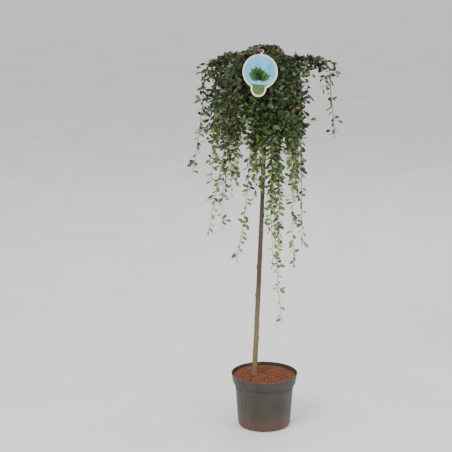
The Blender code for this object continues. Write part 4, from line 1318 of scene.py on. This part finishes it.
def printed_leaf(foot, turn, length):
    """The outline of a leaf drawn on the label."""
    cos, sin = math.cos(turn), math.sin(turn)
    shares = spread(PRINTED_LEAF_STEPS)
    outline = []
    for t, side in [(t, -1) for t in shares] + [(t, 1) for t in shares[-2:0:-1]]:
        half = PRINTED_LEAF_WIDTH * length * math.sin(math.pi * t**PRINTED_LEAF_POWER) * side
        outline.append((foot[0] + cos * t * length - sin * half, foot[1] + sin * t * length + cos * half))
    return outline


def print_material(name, dark, light, scale=INK_WAVES):
    """Printed plastic, fairly glossy, with a faint unevenness in its ink."""
    material, tree, shader = new_material(name, 0.32)
    ink = noise_field(tree, scale, 2.0)
    stops = [(0.35, dark), (0.65, light)]
    colour = add_node(tree, "ShaderNodeValToRGB", {"Fac": ink}, stops).outputs["Color"]
    tree.links.new(colour, shader.inputs["Base Color"])
    return material


def add_layer(name, outline, level, material, depth=0.0, replaces=()):
    """A flat printed shape, so many layers above the card's face, or the card itself with its depth."""
    lift = LABEL_FRONT * (LABEL_THICKNESS / 2 + level * LAYER)
    points = [LABEL_MIDDLE + LABEL_RIGHT * x + LABEL_DOWN * y + lift for x, y in outline]
    count = len(points)
    faces = [tuple(range(count))]
    if depth:
        points += [p - LABEL_FRONT * depth for p in points]
        faces.append(tuple(reversed(range(count, 2 * count))))
        faces += [((k + 1) % count, k, count + k, count + (k + 1) % count) for k in range(count)]
    add_piece(name, Gathered(points, faces), material, replaces, None)


def make_label():
    """The card and its printed fields."""
    lime = print_material("label_lime_line", "b4bf4f", "c6cf66")
    blue = print_material("label_blue_print", "4f9fca", "82bcd8", FIELD_INK_WAVES)
    green = print_material("label_green_print", "2f5a2c", "47713a")
    red = print_material("label_red_dots", "b4342c", "cc4a3c")
    add_layer("label_card", label_outline(), 0, PALE_PRINT, LABEL_THICKNESS, ["label"])
    add_layer("label_lime_line", label_outline(LIME_INSET), 1, lime)
    add_layer("label_field", label_outline(FIELD_INSET), 2, blue)
    lobe = [(x, y) for x, y in label_outline(FIELD_INSET) if y > LOBE_PRINT_FROM]
    add_layer("label_lobe", lobe, 3, green)
    for k in range(FAN_LEAVES):
        turn = math.radians(FAN_START + FAN_STEP * k)
        leaf = printed_leaf(FAN_FOOT, turn, FAN_LENGTH + FAN_UNEVENNESS * math.sin(k))
        add_layer(f"label_leaf_{k}", leaf, 3, green)
    for k in range(DOTS):
        place = (DOT_START[0] + DOT_STEP[0] * k, DOT_START[1] + DOT_STEP[1] * (k % 2))
        add_layer(f"label_dot_{k}", circle_outline(place, DOT_RADIUS, DOT_SIDES), 4, red)


def make_strap():
    """The strap: an eye round the bough, and a neck down to the card."""
    corners = bough_curve(LABEL_BOUGH)
    ahead = bezier(corners, LABEL_STATION + EYE_STATION_STEP)
    behind = bezier(corners, LABEL_STATION - EYE_STATION_STEP)
    along = (ahead - behind).normalized()
    across = along.cross(UP).normalized()
    upward = across.cross(along).normalized()
    outside = STRAP_INSIDE + STRAP_THICKNESS
    points, faces = [], []
    rows = ((STRAP_INSIDE, -1), (outside, -1), (outside, 1), (STRAP_INSIDE, 1))
    for radius, shift in rows:
        for k in range(EYE_STEPS):
            a = FULL_TURN * k / EYE_STEPS
            outward = across * math.cos(a) + upward * math.sin(a)
            points.append(LABEL_TOP + outward * radius + along * (shift * STRAP_WIDTH / 4))
    for r in range(len(rows)):
        a, b = r * EYE_STEPS, ((r + 1) % len(rows)) * EYE_STEPS
        for k in range(EYE_STEPS):
            after = (k + 1) % EYE_STEPS
            faces.append((a + k, a + after, b + after, b + k))
    strap = Gathered(points, faces)
    top = LABEL_TOP + LABEL_DOWN * (STRAP_INSIDE + STRAP_THICKNESS * NECK_TOP_SHARE)
    foot = LABEL_MIDDLE - LABEL_DOWN * (DISC_RADIUS - NECK_OVERLAP)
    neck = []
    for end in (top, foot):
        for x, y in ((-1, -1), (1, -1), (1, 1), (-1, 1)):
            neck.append(end + LABEL_RIGHT * (x * STRAP_WIDTH / 2) + LABEL_FRONT * (y * STRAP_THICKNESS / 2))
    strap.add(neck, BLOCK_FACES)
    add_piece("label_strap", strap, PALE_PRINT, smooth_angle=EYE_SHARP_ANGLE)


PALE_PRINT = print_material("label_pale_rim", "e6d3d6", "f1e3e4")
make_label()
make_strap()
print("label with", FAN_LEAVES, "printed leaves and", DOTS, "dots")
